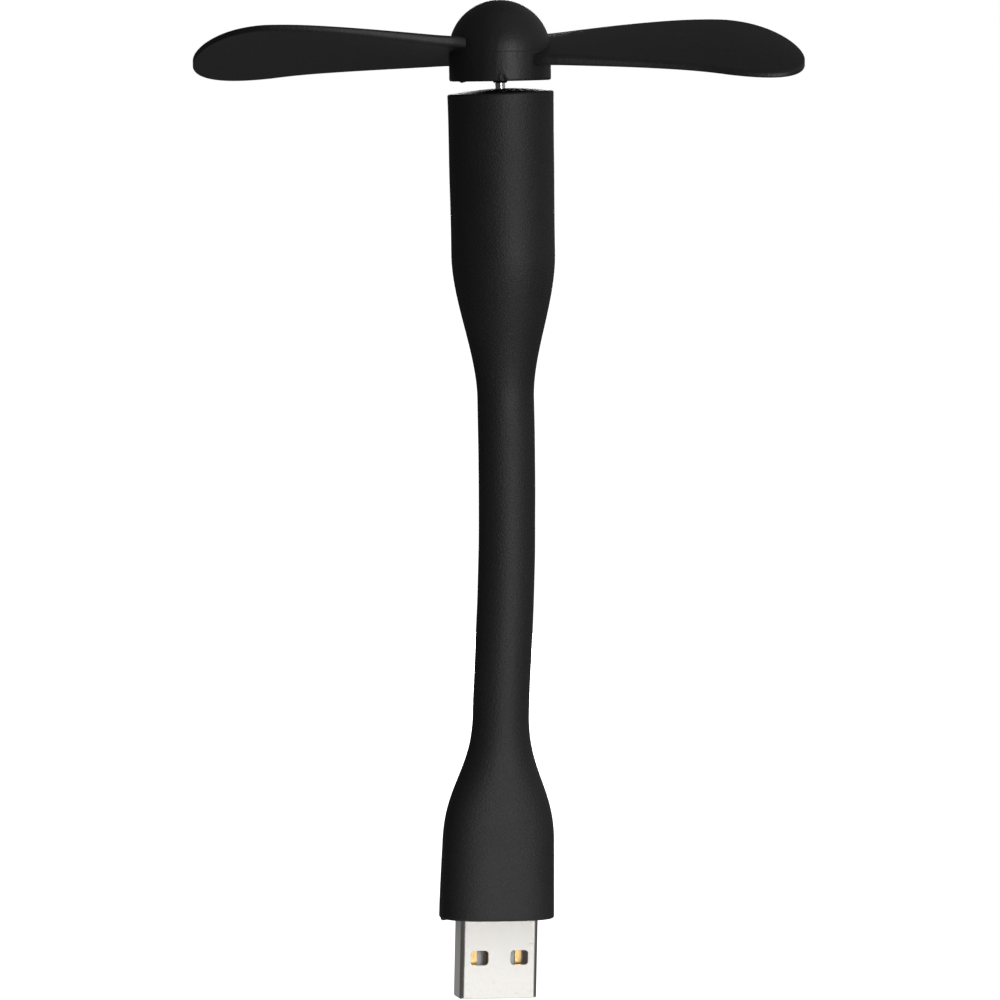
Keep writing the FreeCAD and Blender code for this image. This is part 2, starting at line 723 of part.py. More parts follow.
def make_head_housing():
    """The soft head: the neck's oval swells to a round sleeve, open at the top."""
    body = new_body("head_housing")
    waist = f"(2 * {HEAD_RADIUS} - 2 * head_draft)"
    stations = [("0", "neck_width", "neck_depth"), ("head_taper_start", "neck_width", "neck_depth")]
    for share in HEAD_TAPER_SHARES:
        grown = round(share * share * (3 - 2 * share), 4)
        height = f"head_taper_start + head_taper * {share}"
        width = f"neck_width + ({waist} - neck_width) * {grown}"
        depth = f"neck_depth + ({waist} - head_flatness - neck_depth) * {grown}"
        stations.append((height, width, depth))
    stations.append(("head_length", f"2 * {HEAD_RADIUS}", f"2 * {HEAD_RADIUS} - head_flatness"))
    loft(body, "head_loft", oval_sections(body, "head_section", stations))
    cut_roof(body, "head_foot", "YZ_Plane", "0", upward=False)
    room = new_sketch(body, "sleeve_room_outline", offset="head_length")
    draw_circle(room, SLEEVE_RADIUS)
    pocket(body, "sleeve_room", room, f"head_length - {SLEEVE_BACK}")
    seat = new_sketch(body, "cap_seat_outline", offset="head_length")
    draw_circle(seat, f"{HEAD_RADIUS} - cap_rim")
    pocket(body, "cap_seat", seat, "cap_thickness")
    channel = new_sketch(body, "head_channel_outline", offset=SLEEVE_BACK)
    draw_box(channel, "2 * lead_spread + lead_diameter + 2 * channel_gap", "wire_diameter + 2 * channel_gap")
    pocket(body, "head_channel", channel, f"{SLEEVE_BACK} * {HEAD_CHANNEL}")
    narrow = new_sketch(body, "head_slot_outline", offset=SLEEVE_BACK)
    draw_box(narrow, "2 * lead_offset + lead_diameter + 2 * channel_gap", "wire_diameter + 2 * channel_gap")
    pocket(body, "head_slot", narrow, f"{SLEEVE_BACK} * {HEAD_SLOT}")
    bores = new_sketch(body, "head_bore_outline")
    draw_bores(bores)
    pocket(body, "head_bores", bores, SLEEVE_BACK, reverse=True)
    return body


def make_motor_sleeve():
    """A hard sleeve that grips the motor's flats, with a ledge under its end cap."""
    body = new_body("motor_sleeve")
    top = "(head_length - cap_thickness)"
    outline = new_sketch(body, "sleeve_outline", offset=SLEEVE_BACK)
    draw_circle(outline, SLEEVE_RADIUS)
    pad(body, "sleeve_pad", outline, f"{top} - {SLEEVE_BACK}")
    grip = new_sketch(body, "grip_outline", offset=MOTOR_BACK)
    draw_double_flat(grip, "motor_diameter / 2 + motor_gap", f"{MOTOR_FLATS} + 2 * motor_gap")
    pocket(body, "grip", grip, "head_length", reverse=True)
    room = new_sketch(body, "terminal_room_outline", offset=f"{SLEEVE_BACK} + sleeve_floor")
    draw_circle(room, f"{CAN_FLATS} / 2 + can_wall / 2")
    pocket(body, "terminal_hollow", room, "terminal_room", reverse=True)
    holes = new_sketch(body, "lead_hole_outline", offset=SLEEVE_BACK)
    for side in ("", "-"):
        draw_circle(holes, "lead_diameter / 2 + bore_gap", f"{side}lead_spread")
    pocket(body, "sleeve_lead_holes", holes, "sleeve_floor", reverse=True)
    return body


def make_head_cap():
    """The shallow domed cap, with a hole for the motor's front bush."""
    hole, rim = "(bush_diameter / 2 + cap_hole_gap)", f"({HEAD_RADIUS} - cap_rim)"
    bottom = "head_length - cap_thickness"
    corners = ((hole, bottom), (rim, bottom), (rim, "head_length"), (hole, "head_length + cap_crown"))
    return turned_body("head_cap", corners)


# ---- the motor ----


def make_motor_can():
    body = new_body("motor_can")
    outline = new_sketch(body, "can_outline", offset=CAN_BACK)
    draw_double_flat(outline, "motor_diameter / 2", MOTOR_FLATS)
    pad(body, "can_pad", outline, "motor_length")
    inside = new_sketch(body, "can_inside_outline", offset=CAN_BACK)
    draw_double_flat(inside, CAN_INSIDE, CAN_FLATS)
    pocket(body, "can_inside", inside, "motor_length - can_wall", reverse=True)
    hole = new_sketch(body, "can_hole_outline", offset=MOTOR_FACE)
    draw_circle(hole, "bush_diameter / 2")
    pocket(body, "can_hole", hole, "2 * can_wall")
    return body


def make_motor_magnets():
    """Two curved magnets on the can's round sides."""
    body = new_body("motor_magnets")
    sketch = new_sketch(body, "magnet_outline", offset=f"{MOTOR_FACE} - can_wall - motor_gap")
    outer = f"({CAN_INSIDE} - motor_gap)"
    for middle in ("0", "180"):
        draw_ring_part(sketch, f"({outer} - magnet_thickness)", outer, "magnet_half_angle", middle)
    pad(body, "magnet_arcs", sketch, "magnet_length", reverse=True)
    return body


def make_front_bearing():
    """A bush through the can's front, held by its flange inside."""
    inner, face = "(bush_diameter / 2)", MOTOR_FACE
    corners = (
        (BORE_RADIUS, f"{face} - can_wall - bush_inside"),
        ("bush_flange / 2", f"{face} - can_wall - bush_inside"),
        ("bush_flange / 2", f"{face} - can_wall"),
        (inner, f"{face} - can_wall"),
        (inner, f"{face} + bush_stand"),
        (BORE_RADIUS, f"{face} + bush_stand"),
    )
    return turned_body("front_bearing", corners)


def make_rear_bearing():
    outer = "rear_bush_diameter / 2"
    corners = ((BORE_RADIUS, MOTOR_BACK), (outer, MOTOR_BACK), (outer, BRUSH_SEAT), (BORE_RADIUS, BRUSH_SEAT))
    return turned_body("rear_bearing", corners)


def make_motor_end_cap():
    """The plastic cap that closes the can and holds the rear bearing, the terminals and the brushes."""
    body = new_body("motor_end_cap")
    flange = new_sketch(body, "flange_outline", offset=MOTOR_BACK)
    draw_double_flat(flange, "motor_diameter / 2", MOTOR_FLATS)
    pad(body, "end_cap_flange_pad", flange, "end_cap_flange")
    plug = new_sketch(body, "plug_outline", offset=CAN_BACK)
    draw_double_flat(plug, CAN_INSIDE, CAN_FLATS)
    pad(body, "end_cap_plug_pad", plug, "end_cap_plug")
    holes = new_sketch(body, "end_cap_holes_outline", offset=MOTOR_BACK)
    draw_circle(holes, "rear_bush_diameter / 2")
    for side in ("", "-"):
        draw_box(holes, "terminal_thickness", "terminal_width", f"{side}lead_spread")
    pocket(body, "end_cap_holes", holes, "end_cap_flange + end_cap_plug + 1", reverse=True)
    return body


def make_motor_terminals():
    body = new_body("motor_terminals")
    sketch = new_sketch(body, "terminal_outline", offset=TERMINAL_END)
    for side in ("", "-"):
        draw_box(sketch, "terminal_thickness", "terminal_width", f"{side}lead_spread")
    pad(body, "terminal_tabs", sketch, f"{BRUSH_SEAT} - {TERMINAL_END}")
    return body


def make_terminal_solder():
    body = new_body("terminal_solder")
    sketch = new_sketch(body, "terminal_solder_outline", offset=LEAD_TOP)
    for side in ("", "-"):
        draw_circle(sketch, "solder_diameter / 2", f"{side}lead_spread")
    pad(body, "terminal_solder_joints", sketch, "solder_length")
    return body


def make_motor_brushes():
    """Two bent strips: each lies on the end cap from its terminal, then stands up beside the commutator."""
    body = new_body("motor_brushes")
    sketch = new_sketch(body, "brush_outline", "XZ_Plane")
    near = "commutator_radius + brush_gap"
    tip = f"{BRUSH_SEAT} + commutator_length - brush_width / 2"
    for side in ("", "-"):
        inner, bend = f"{side}({near})", f"{side}({near} + brush_thickness)"
        outer = f"{side}(lead_spread + terminal_thickness / 2)"
        shelf = f"{BRUSH_SEAT} + brush_thickness"
        foot = ((inner, BRUSH_SEAT), (outer, BRUSH_SEAT), (outer, shelf))
        blade = ((bend, shelf), (bend, tip), (inner, tip))
        draw_outline(sketch, foot + blade)
    pad(body, "brush_strips", sketch, "brush_width", symmetric=True)
    return body


# ---- the rotor ----


def make_motor_shaft():
    body = new_body("motor_shaft")
    foot = f"({MOTOR_BACK} - shaft_foot)"
    sketch = new_sketch(body, "shaft_outline", offset=foot)
    draw_circle(sketch, SHAFT_RADIUS)
    pad(body, "shaft_pad", sketch, f"{HUB_RIM} + socket_depth - {foot}")
    return body


CORE_MIDDLE = f"({MOTOR_FACE} - can_wall - motor_gap - magnet_length / 2 - core_drop)"


def make_rotor_core():
    """Three T-shaped iron poles on the shaft."""
    body = new_body("rotor_core")
    bottom = f"{CORE_MIDDLE} - core_length / 2"
    hub = new_sketch(body, "core_hub_outline", offset=bottom)
    draw_circle(hub, "core_hub")
    draw_circle(hub, SHAFT_RADIUS)
    pad(body, "core_hub_pad", hub, "core_length")
    inner = f"({CORE_RADIUS} - shoe_thickness)"
    stem = new_sketch(body, "stem_outline", offset=bottom)
    reach = f"({inner} + shoe_thickness / 2)"
    root = f"core_hub * {STEM_ROOT}"
    draw_box(stem, f"({reach} - {root})", "pole_width", x=f"({reach} + {root}) / 2")
    stem_pad = pad(body, "stem_pad", stem, "core_length")
    shoe = new_sketch(body, "shoe_outline", offset=bottom)
    draw_ring_part(shoe, inner, CORE_RADIUS, "shoe_half_angle", "0")
    shoe_pad = pad(body, "shoe_pad", shoe, "core_length")
    repeat_round(body, "poles", [stem_pad, shoe_pad], 3)
    return body


def make_rotor_windings():
    """A coil round each pole's stem, between the hub and the shoe."""
    body = new_body("rotor_windings")
    inner, outer = "(core_hub + coil_gap)", f"({CORE_RADIUS} - shoe_thickness - coil_gap)"
    middle, depth = f"({inner} + {outer}) / 2", f"({outer} - {inner})"
    block = new_sketch(body, "coil_outline", offset=f"{CORE_MIDDLE} - core_length / 2 - coil_overhang")
    side, shoulder = "(coil_width / 2)", f"sqrt({outer} ^ 2 - coil_width ^ 2 / 4)"
    corners = ((inner, f"-{side}"), (shoulder, f"-{side}"), (shoulder, side), (inner, side))
    draw_outline(block, corners, {1: (outer, -1)})
    coil = pad(body, "coil_pad", block, "core_length + 2 * coil_overhang")
    repeat_round(body, "coils", [coil], 3)
    room = new_sketch(body, "stem_room_outline", offset=f"{CORE_MIDDLE} - core_length / 2")
    draw_box(room, f"{depth} + 2 * coil_gap", "pole_width + coil_gap", x=middle)
    cut = pocket(body, "stem_room", room, "core_length", reverse=True)
    repeat_round(body, "stem_rooms", [cut], 3)
    return body


def make_commutator_hub():
    bottom = f"{BRUSH_SEAT} + 2 * washer_thickness"
    top = f"{bottom} + commutator_length"
    rim = "commutator_radius - segment_thickness"
    corners = ((SHAFT_RADIUS, bottom), (rim, bottom), (rim, top), (SHAFT_RADIUS, top))
    return turned_body("commutator_hub", corners)


def make_commutator_segments():
    body = new_body("commutator_segments")
    foot = f"{BRUSH_SEAT} + 2 * washer_thickness + segment_inset"
    sketch = new_sketch(body, "segment_outline", offset=foot)
    inner = "(commutator_radius - segment_thickness)"
    for middle in ("0", "120", "240"):
        draw_ring_part(sketch, inner, "commutator_radius", "segment_half_angle", middle)
    pad(body, "segments", sketch, "commutator_length - 2 * segment_inset")
    return body


def make_shaft_washers():
    """A thrust washer inside each bearing."""
    body = new_body("shaft_washers")
    front = f"{MOTOR_FACE} - can_wall - bush_inside - washer_thickness - motor_gap"
    for name, height in (("rear_washer", f"{BRUSH_SEAT} + motor_gap"), ("front_washer", front)):
        sketch = new_sketch(body, f"{name}_outline", offset=height)
        draw_circle(sketch, "washer_diameter / 2")
        draw_circle(sketch, SHAFT_RADIUS)
        pad(body, name, sketch, "washer_thickness")
    return body


def blade_section(body, index, reach, front, back):
    """One section across the blade. It faces the span, tilted by the pitch and cambered upwards."""
    run = max(reach - BLADE_OUTLINE[1][0], 0) / (1 - BLADE_OUTLINE[1][0])
    ease = round(1 - (1 - run) ** 2, 4)
    pitch = f"(blade_root_pitch + (blade_tip_pitch - blade_root_pitch) * {ease})"
    thickness = f"(blade_root_thickness + (blade_tip_thickness - blade_root_thickness) * {ease})"
    near, far = f"(-blade_chord * {front})", f"(blade_chord * {back})"
    low, high = f"(blade_middle + {near} * tan({pitch}))", f"(blade_middle + {far} * tan({pitch}))"
    corners = (
        (near, f"{low} - {thickness} / 2"),
        (far, f"{high} - {thickness} / 2"),
        (far, f"{high} + {thickness} / 2"),
        (near, f"{low} + {thickness} / 2"),
    )
    chord = f"(blade_chord * {front + back} / cos({pitch}))"
    rise = f"(blade_camber * {round(front + back, 4)})"
    radius = f"({chord} ^ 2 / (8 * {rise}) + {rise} / 2)"
    sketch = new_sketch(body, f"blade_section_{index}", "YZ_Plane", offset=f"propeller_radius * {reach}")
    draw_outline(sketch, corners, {0: (radius, 1), 2: (radius, -1)})
    return sketch


def make_propeller():
    """A soft moulding: a domed hub, hollow under, with a boss for the shaft and two blades."""
    body = new_body("propeller")
    dome = new_sketch(body, "hub_outline", "XZ_Plane")
    crown = "hub_straight + hub_radius"
    corners = (("0", "0"), ("hub_radius", "0"), ("hub_radius", "hub_straight"), ("0", crown))
    draw_outline(dome, corners, {2: ("hub_radius", -1)})
    turn(body, "Revolution", "hub", dome)
    sketches = [blade_section(body, index, *station) for index, station in enumerate(BLADE_OUTLINE)]
    blade = loft(body, "blade", sketches)
    repeat_round(body, "blades", [blade], 2)
    hollow = new_sketch(body, "hollow_outline", "XZ_Plane")
    inside, boss = "(hub_radius - hub_wall)", "(boss_diameter / 2)"
    roof = "(hub_straight + hub_radius - 2 * hub_wall)"
    corners = ((boss, "-1"), (inside, "-1"), (inside, "hub_straight"), (boss, roof))
    draw_outline(hollow, corners)
    turn(body, "Groove", "hollow", hollow)
    tip = new_sketch(body, "boss_tip_outline", "XZ_Plane")
    corners = (
        ("0", "-boss_drop"),
        ("boss_tip_diameter / 2", "-boss_drop"),
        (boss, "0"),
        (boss, "hub_straight"),
        ("0", "hub_straight"),
    )
    draw_outline(tip, corners)
    turn(body, "Revolution", "boss_tip", tip)
    socket = new_sketch(body, "socket_outline", offset="-boss_drop")
    draw_circle(socket, SHAFT_RADIUS)
    pocket(body, "socket", socket, "socket_depth + boss_drop", reverse=True)
    return body


def check_and_export(pieces):
    """Stop on any failed object or bad shape, then write each piece's STEP file."""
    doc.recompute()
    for item in doc.Objects:
        if {"Invalid", "Error"} & set(item.State):
            raise RuntimeError(f"{item.Label} failed: {item.State}")
    for piece in pieces:
        if piece.Shape.isNull() or not piece.Shape.isValid() or not piece.Shape.Solids:
            raise RuntimeError(f"{piece.Label} has no valid solid")
    os.makedirs("parts", exist_ok=True)
    for piece in pieces:
        piece.Shape.exportStep(f"parts/{piece.Label}.step")
        print(f"{piece.Label}: {len(piece.Shape.Solids)} solid(s), {piece.Shape.Volume:.1f} mm3")


def build():
    fill_sheet()
    frames = hinge_frames()
    head = frames[-1]
    spin = FreeCAD.Rotation(V(0, 0, 1), number("blade_rest_turn"))
    in_base = [make_plug_shell, make_plug_insulator, make_plug_contacts, make_plug_solder, make_inner_mould]
    in_head = [make_head_housing, make_motor_sleeve, make_head_cap, make_motor_can, make_motor_magnets]
    in_head += [make_front_bearing, make_rear_bearing, make_motor_end_cap, make_motor_terminals]
    in_head += [make_terminal_solder, make_motor_brushes]
    in_rotor = [make_motor_shaft, make_rotor_core, make_rotor_windings, make_commutator_hub]
    in_rotor += [make_commutator_segments, make_shaft_washers]
    pieces = [make() for make in [*in_base, make_base_housing]]
    pieces += [make_neck_link(index, frame) for index, frame in enumerate(frames[:-1], start=1)]
    pieces.append(make_bend_wire(frames))
    pieces.append(make_lead("lead_positive", 1, frames))
    pieces.append(make_lead("lead_negative", -1, frames))
    for make in in_head + in_rotor:
        piece = make()
        piece.Placement = head
        pieces.append(piece)
    propeller = make_propeller()
    propeller.Placement = head * FreeCAD.Placement(V(0, 0, number(HUB_RIM)), spin)
    pieces.append(propeller)
    check_and_export(pieces)


build()
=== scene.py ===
"""A plug-in stick fan: a bright type A plug, one soft black moulding, and a soft propeller.

Lengths are in metres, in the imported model's own frame: +Z runs up the neck, +X along the plug's width,
and -Y is the side where the plug's contacts face."""

import json
import math

import bmesh
import bpy
import numpy as np
from mathutils import Matrix, Vector, noise

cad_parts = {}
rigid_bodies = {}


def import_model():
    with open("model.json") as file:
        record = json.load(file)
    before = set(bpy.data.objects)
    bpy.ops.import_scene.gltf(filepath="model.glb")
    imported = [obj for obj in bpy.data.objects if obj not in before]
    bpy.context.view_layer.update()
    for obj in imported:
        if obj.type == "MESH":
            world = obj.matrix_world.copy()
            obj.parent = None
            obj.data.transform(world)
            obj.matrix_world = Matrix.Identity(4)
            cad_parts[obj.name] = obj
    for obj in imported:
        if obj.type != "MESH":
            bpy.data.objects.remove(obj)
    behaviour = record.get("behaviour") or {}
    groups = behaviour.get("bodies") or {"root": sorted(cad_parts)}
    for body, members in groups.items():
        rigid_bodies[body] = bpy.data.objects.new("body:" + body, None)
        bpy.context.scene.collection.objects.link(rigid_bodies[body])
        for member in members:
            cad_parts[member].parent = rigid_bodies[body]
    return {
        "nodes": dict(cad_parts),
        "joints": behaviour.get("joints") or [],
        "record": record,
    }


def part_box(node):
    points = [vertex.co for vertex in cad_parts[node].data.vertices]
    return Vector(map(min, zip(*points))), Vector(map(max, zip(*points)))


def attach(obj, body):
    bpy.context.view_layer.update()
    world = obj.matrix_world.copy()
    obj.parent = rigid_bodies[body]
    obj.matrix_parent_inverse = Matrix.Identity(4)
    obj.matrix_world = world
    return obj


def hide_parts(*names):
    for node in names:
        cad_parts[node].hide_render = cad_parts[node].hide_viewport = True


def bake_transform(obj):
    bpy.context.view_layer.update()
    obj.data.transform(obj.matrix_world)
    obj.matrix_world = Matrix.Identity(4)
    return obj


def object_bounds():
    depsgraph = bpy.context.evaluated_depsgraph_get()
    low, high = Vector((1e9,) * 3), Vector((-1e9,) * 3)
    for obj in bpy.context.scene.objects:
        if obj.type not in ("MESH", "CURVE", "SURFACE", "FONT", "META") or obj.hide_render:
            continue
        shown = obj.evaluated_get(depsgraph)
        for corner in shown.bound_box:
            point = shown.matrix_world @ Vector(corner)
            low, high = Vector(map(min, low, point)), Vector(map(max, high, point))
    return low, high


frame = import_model()
cad_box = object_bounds()

MM = 0.001
TURN = 2 * math.pi


# ---- where things are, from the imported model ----


def neck_chain():
    """The bodies from base to head, and the hinge between each and the next."""
    joints = {joint["parent"]: joint for joint in frame["joints"]}
    bodies, hinges = ["base"], []
    while bodies[-1] != "head":
        joint = joints[bodies[-1]]
        bodies.append(joint["child"])
        hinges.append(Vector(joint["pos_m"]))
    return bodies, hinges


def head_place(hinge):
    """The head's own frame: its origin at the last hinge, its Z along the motor's shaft."""
    spin = next(joint for joint in frame["joints"] if joint["child"] == "rotor")
    lean = math.atan2(spin["axis"][0], spin["axis"][2])
    return Matrix.Translation(hinge) @ Matrix.Rotation(lean, 4, "Y")


def span_in(place, node):
    """The node's lowest and highest Z in a place's own frame."""
    back = place.inverted()
    heights = [(back @ vertex.co).z for vertex in frame["nodes"][node].data.vertices]
    return min(heights), max(heights)


BODIES, HINGES = neck_chain()
HEAD = head_place(HINGES[-1])
STEP = (HINGES[1] - HINGES[0]).length
NECK_START = HINGES[0].z - STEP / 2
NECK_END = NECK_START + STEP * len(HINGES)
HEAD_FOOT = NECK_END - STEP / 2  # the last hinge's distance along the spine
SLEEVE_FOOT = span_in(HEAD, "motor_sleeve")[0]
RIM = span_in(HEAD, "head_housing")[1]
LEAD_TOP = span_in(HEAD, "lead_positive")[1]
WIRE_TOP = span_in(HEAD, "bend_wire")[1]
PLUG_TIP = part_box("plug_shell")[0].z
SHELL_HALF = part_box("plug_shell")[1]
BASE_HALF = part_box("base_housing")[1]
MOULD_LOW, MOULD_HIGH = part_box("inner_mould")

NECK_HALF = Vector((4.33, 3.5)) * MM
HEAD_RADIUS = 8.0 * MM
HEAD_WAIST = 7.83 * MM
SLEEVE_RADIUS = 6.7 * MM
BOSS_DROP = 0.35 * MM
HUB_RIM = span_in(HEAD, "propeller")[0] + BOSS_DROP
BLADE_REST_TURN = math.radians(-14.6)
PROPELLER = HEAD @ Matrix.Translation((0, 0, HUB_RIM)) @ Matrix.Rotation(BLADE_REST_TURN, 4, "Z")


# ---- mesh helpers ----


def smooth(share):
    """0 to 1 with no slope at either end."""
    share = min(max(share, 0.0), 1.0)
    return share * share * (3 - 2 * share)


def new_piece(name, vertices, faces, finish, place=None):
    """A mesh object at the origin, with its place in its vertices."""
    mesh = bpy.data.meshes.new(name)
    mesh.from_pydata([tuple(v) for v in vertices], [], faces)
    if place is not None:
        mesh.transform(place)
    mesh.materials.append(finish)
    piece = bpy.data.objects.new(name, mesh)
    bpy.context.scene.collection.objects.link(piece)
    return piece


def shade(piece, crease=35.0, flat_from=None):
    """Smooth shading, with sharp creases. Faces of at least the given area are shaded flat."""
    shape = bmesh.new()
    shape.from_mesh(piece.data)
    bmesh.ops.recalc_face_normals(shape, faces=shape.faces)
    for face in shape.faces:
        face.smooth = flat_from is None or face.calc_area() < flat_from
    for edge in shape.edges:
        edge.smooth = len(edge.link_faces) == 2 and edge.calc_face_angle() < math.radians(crease)
    shape.to_mesh(piece.data)
    shape.free()
    return piece


def ring_faces(rings, around, closed):
    """Quads between neighbouring rings; closed also joins the last ring to the first."""
    faces = []
    for ring in range(rings if closed else rings - 1):
        low, high = ring * around, (ring + 1) % rings * around
        for i in range(around):
            j = (i + 1) % around
            faces.append((low + i, low + j, high + j, high + i))
    return faces


def turned_piece(name, profile, finish, place, around=128, dents=None):
    """A solid turned about Z from a profile of (radius, height). It is closed at any point on the axis."""
    vertices, rows = [], []
    for radius, height in profile:
        if radius < 1e-7:
            rows.append([len(vertices)] * around)
            vertices.append(Vector((0, 0, height)))
            continue
        rows.append(list(range(len(vertices), len(vertices) + around)))
        for i in range(around):
            angle = TURN * i / around
            point = Vector((radius * math.cos(angle), radius * math.sin(angle), height))
            vertices.append(dents(point, angle) if dents else point)
    faces = []
    pairs = list(zip(rows, rows[1:]))
    if profile[0][0] > 1e-7:
        pairs.append((rows[-1], rows[0]))
    for low, high in pairs:
        for i in range(around):
            j = (i + 1) % around
            face = list(dict.fromkeys((low[i], low[j], high[j], high[i])))
            if len(face) > 2:
                faces.append(face)
    return shade(new_piece(name, vertices, faces, finish, place))


def arc(centre, radius, start, end, steps):
    """Points of an arc in (radius, height), from one angle to another in degrees."""
    angles = [math.radians(start + (end - start) * i / steps) for i in range(steps + 1)]
    return [(centre[0] + radius * math.cos(a), centre[1] + radius * math.sin(a)) for a in angles]


def apply_modifiers(piece):
    """Replace the piece's mesh with its evaluated one."""
    graph = bpy.context.evaluated_depsgraph_get()
    made = bpy.data.meshes.new_from_object(piece.evaluated_get(graph))
    piece.modifiers.clear()
    piece.data = made
    return piece


def boolean(piece, other, operation):
    """Cut the other solid away from the piece, or join it on. The other is used up."""
    modifier = piece.modifiers.new(operation.title(), "BOOLEAN")
    modifier.operation = operation
    modifier.solver = "EXACT"
    modifier.object = other
    apply_modifiers(piece)
    bpy.data.objects.remove(other)
    return piece


def bevel(piece, width, segments, crease=40.0):
    """Bevel the edges sharper than the crease, in degrees."""
    modifier = piece.modifiers.new("Bevel", "BEVEL")
    modifier.width = width
    modifier.segments = segments
    modifier.limit_method = "ANGLE"
    modifier.angle_limit = math.radians(crease)
    return apply_modifiers(piece)


def prism(name, outline, low, high, finish, axis="Z"):
    """A straight solid over an outline of (x, y), between two heights. Axis Y stands it along Y instead."""
    count = len(outline)
    vertices = [Vector((x, y, z)) for z in (low, high) for x, y in outline]
    if axis == "Y":
        vertices = [Vector((v.x, v.z, v.y)) for v in vertices]
    faces = [tuple(range(count)), tuple(range(count, 2 * count))]
    faces += [(i, (i + 1) % count, count + (i + 1) % count, count + i) for i in range(count)]
    return shade(new_piece(name, vertices, faces, finish))


def rounded_box(half_width, half_height, corner, steps=6, centre=(0, 0)):
    """The outline of a rectangle with round corners."""
    points = []
    for quarter, (sx, sy) in enumerate(((1, 1), (-1, 1), (-1, -1), (1, -1))):
        middle = (centre[0] + sx * (half_width - corner), centre[1] + sy * (half_height - corner))
        points += arc(middle, corner, 90 * quarter, 90 * (quarter + 1), steps)
    return points


# ---- finishes ----


class Finish:
    """A material under construction: its Principled BSDF, and short calls that add and join nodes."""

    def __init__(self, name, **sockets):
        self.material = bpy.data.materials.new(name)
        self.material.use_nodes = True
        self.tree = self.material.node_tree
        self.shader = self.tree.nodes["Principled BSDF"]
        self.put(self.shader, **sockets)

    def put(self, node, **sockets):
        """Set or link the node's inputs; a name's underscores stand for spaces."""
        for name, value in sockets.items():
            socket = node.inputs[name.replace("_", " ")]
            if isinstance(value, bpy.types.NodeSocket):
                self.tree.links.new(value, socket)
            else:
                socket.default_value = value

    def node(self, kind, settings=(), **sockets):
        made = self.tree.nodes.new(kind)
        for name, value in dict(settings).items():
            setattr(made, name, value)
        self.put(made, **sockets)
        return made

    def group(self, tree, **sockets):
        made = self.tree.nodes.new("ShaderNodeGroup")
        made.node_tree = tree
        self.put(made, **sockets)
        return made

    def mix(self, factor, low, high):
        """A colour between two others."""
        made = self.node("ShaderNodeMix", {"data_type": "RGBA"})
        for index, value in ((0, factor), (6, low), (7, high)):
            if isinstance(value, bpy.types.NodeSocket):
                self.tree.links.new(value, made.inputs[index])
            else:
                made.inputs[index].default_value = value
        return made.outputs[2]

    def between(self, value, low, high):
        """A value from 0 to 1 stretched between two numbers."""
        return self.node("ShaderNodeMapRange", Value=value, To_Min=low, To_Max=high).outputs[0]

    def bump(self, height, depth, normal=None):
        made = self.node("ShaderNodeBump", Height=height, Distance=depth)
        if normal is not None:
            self.put(made, Normal=normal)
        return made.outputs[0]


class Effect(Finish):
    """A shared node group under construction, with named inputs and outputs."""

    def __init__(self, name, inputs, outputs):
        self.tree = bpy.data.node_groups.new(name, "ShaderNodeTree")
        for socket, kind, value in inputs:
            made = self.tree.interface.new_socket(socket, in_out="INPUT", socket_type=f"NodeSocket{kind}")
            made.default_value = value
        for socket, kind in outputs:
            self.tree.interface.new_socket(socket, in_out="OUTPUT", socket_type=f"NodeSocket{kind}")
        self.given = self.tree.nodes.new("NodeGroupInput").outputs
        self.results = self.tree.nodes.new("NodeGroupOutput")

    def math(self, operation, first, second=0.0):
        made = self.tree.nodes.new("ShaderNodeMath")
        made.operation = operation
        for index, value in enumerate((first, second)):
            if isinstance(value, bpy.types.NodeSocket):
                self.tree.links.new(value, made.inputs[index])
            else:
                made.inputs[index].default_value = value
        return made.outputs[0]


def moulded_grain():
    """The fine matt texture of a spark-eroded mould: grain, brighter flecks, and slow clouds of tone."""
    effect = Effect(
        "moulded_grain",
        [("Grain Size", "Float", 0.0003), ("Cloud Size", "Float", 0.008)],
        [("Grain", "Float"), ("Flecks", "Float"), ("Clouds", "Float")],
    )
    place = effect.node("ShaderNodeTexCoord").outputs["Object"]
    fine = effect.math("DIVIDE", 1.0, effect.given["Grain Size"])
    broad = effect.math("DIVIDE", 1.0, effect.given["Cloud Size"])
    grain = effect.node("ShaderNodeTexNoise", Vector=place, Scale=fine, Detail=3.0, Roughness=0.6)
    pits = effect.node("ShaderNodeTexVoronoi", Vector=place, Scale=effect.math("MULTIPLY", fine, 0.8))
    clouds = effect.node("ShaderNodeTexNoise", Vector=place, Scale=broad, Detail=2.0)
    flecks = effect.node(
        "ShaderNodeMapRange", Value=grain.outputs["Fac"], From_Min=0.58, From_Max=0.72
    ).outputs[0]
    height = effect.math("ADD", grain.outputs["Fac"], effect.math("MULTIPLY", pits.outputs["Distance"], 0.6))
    effect.put(effect.results, Grain=height, Flecks=flecks, Clouds=clouds.outputs["Fac"])
    return effect.tree


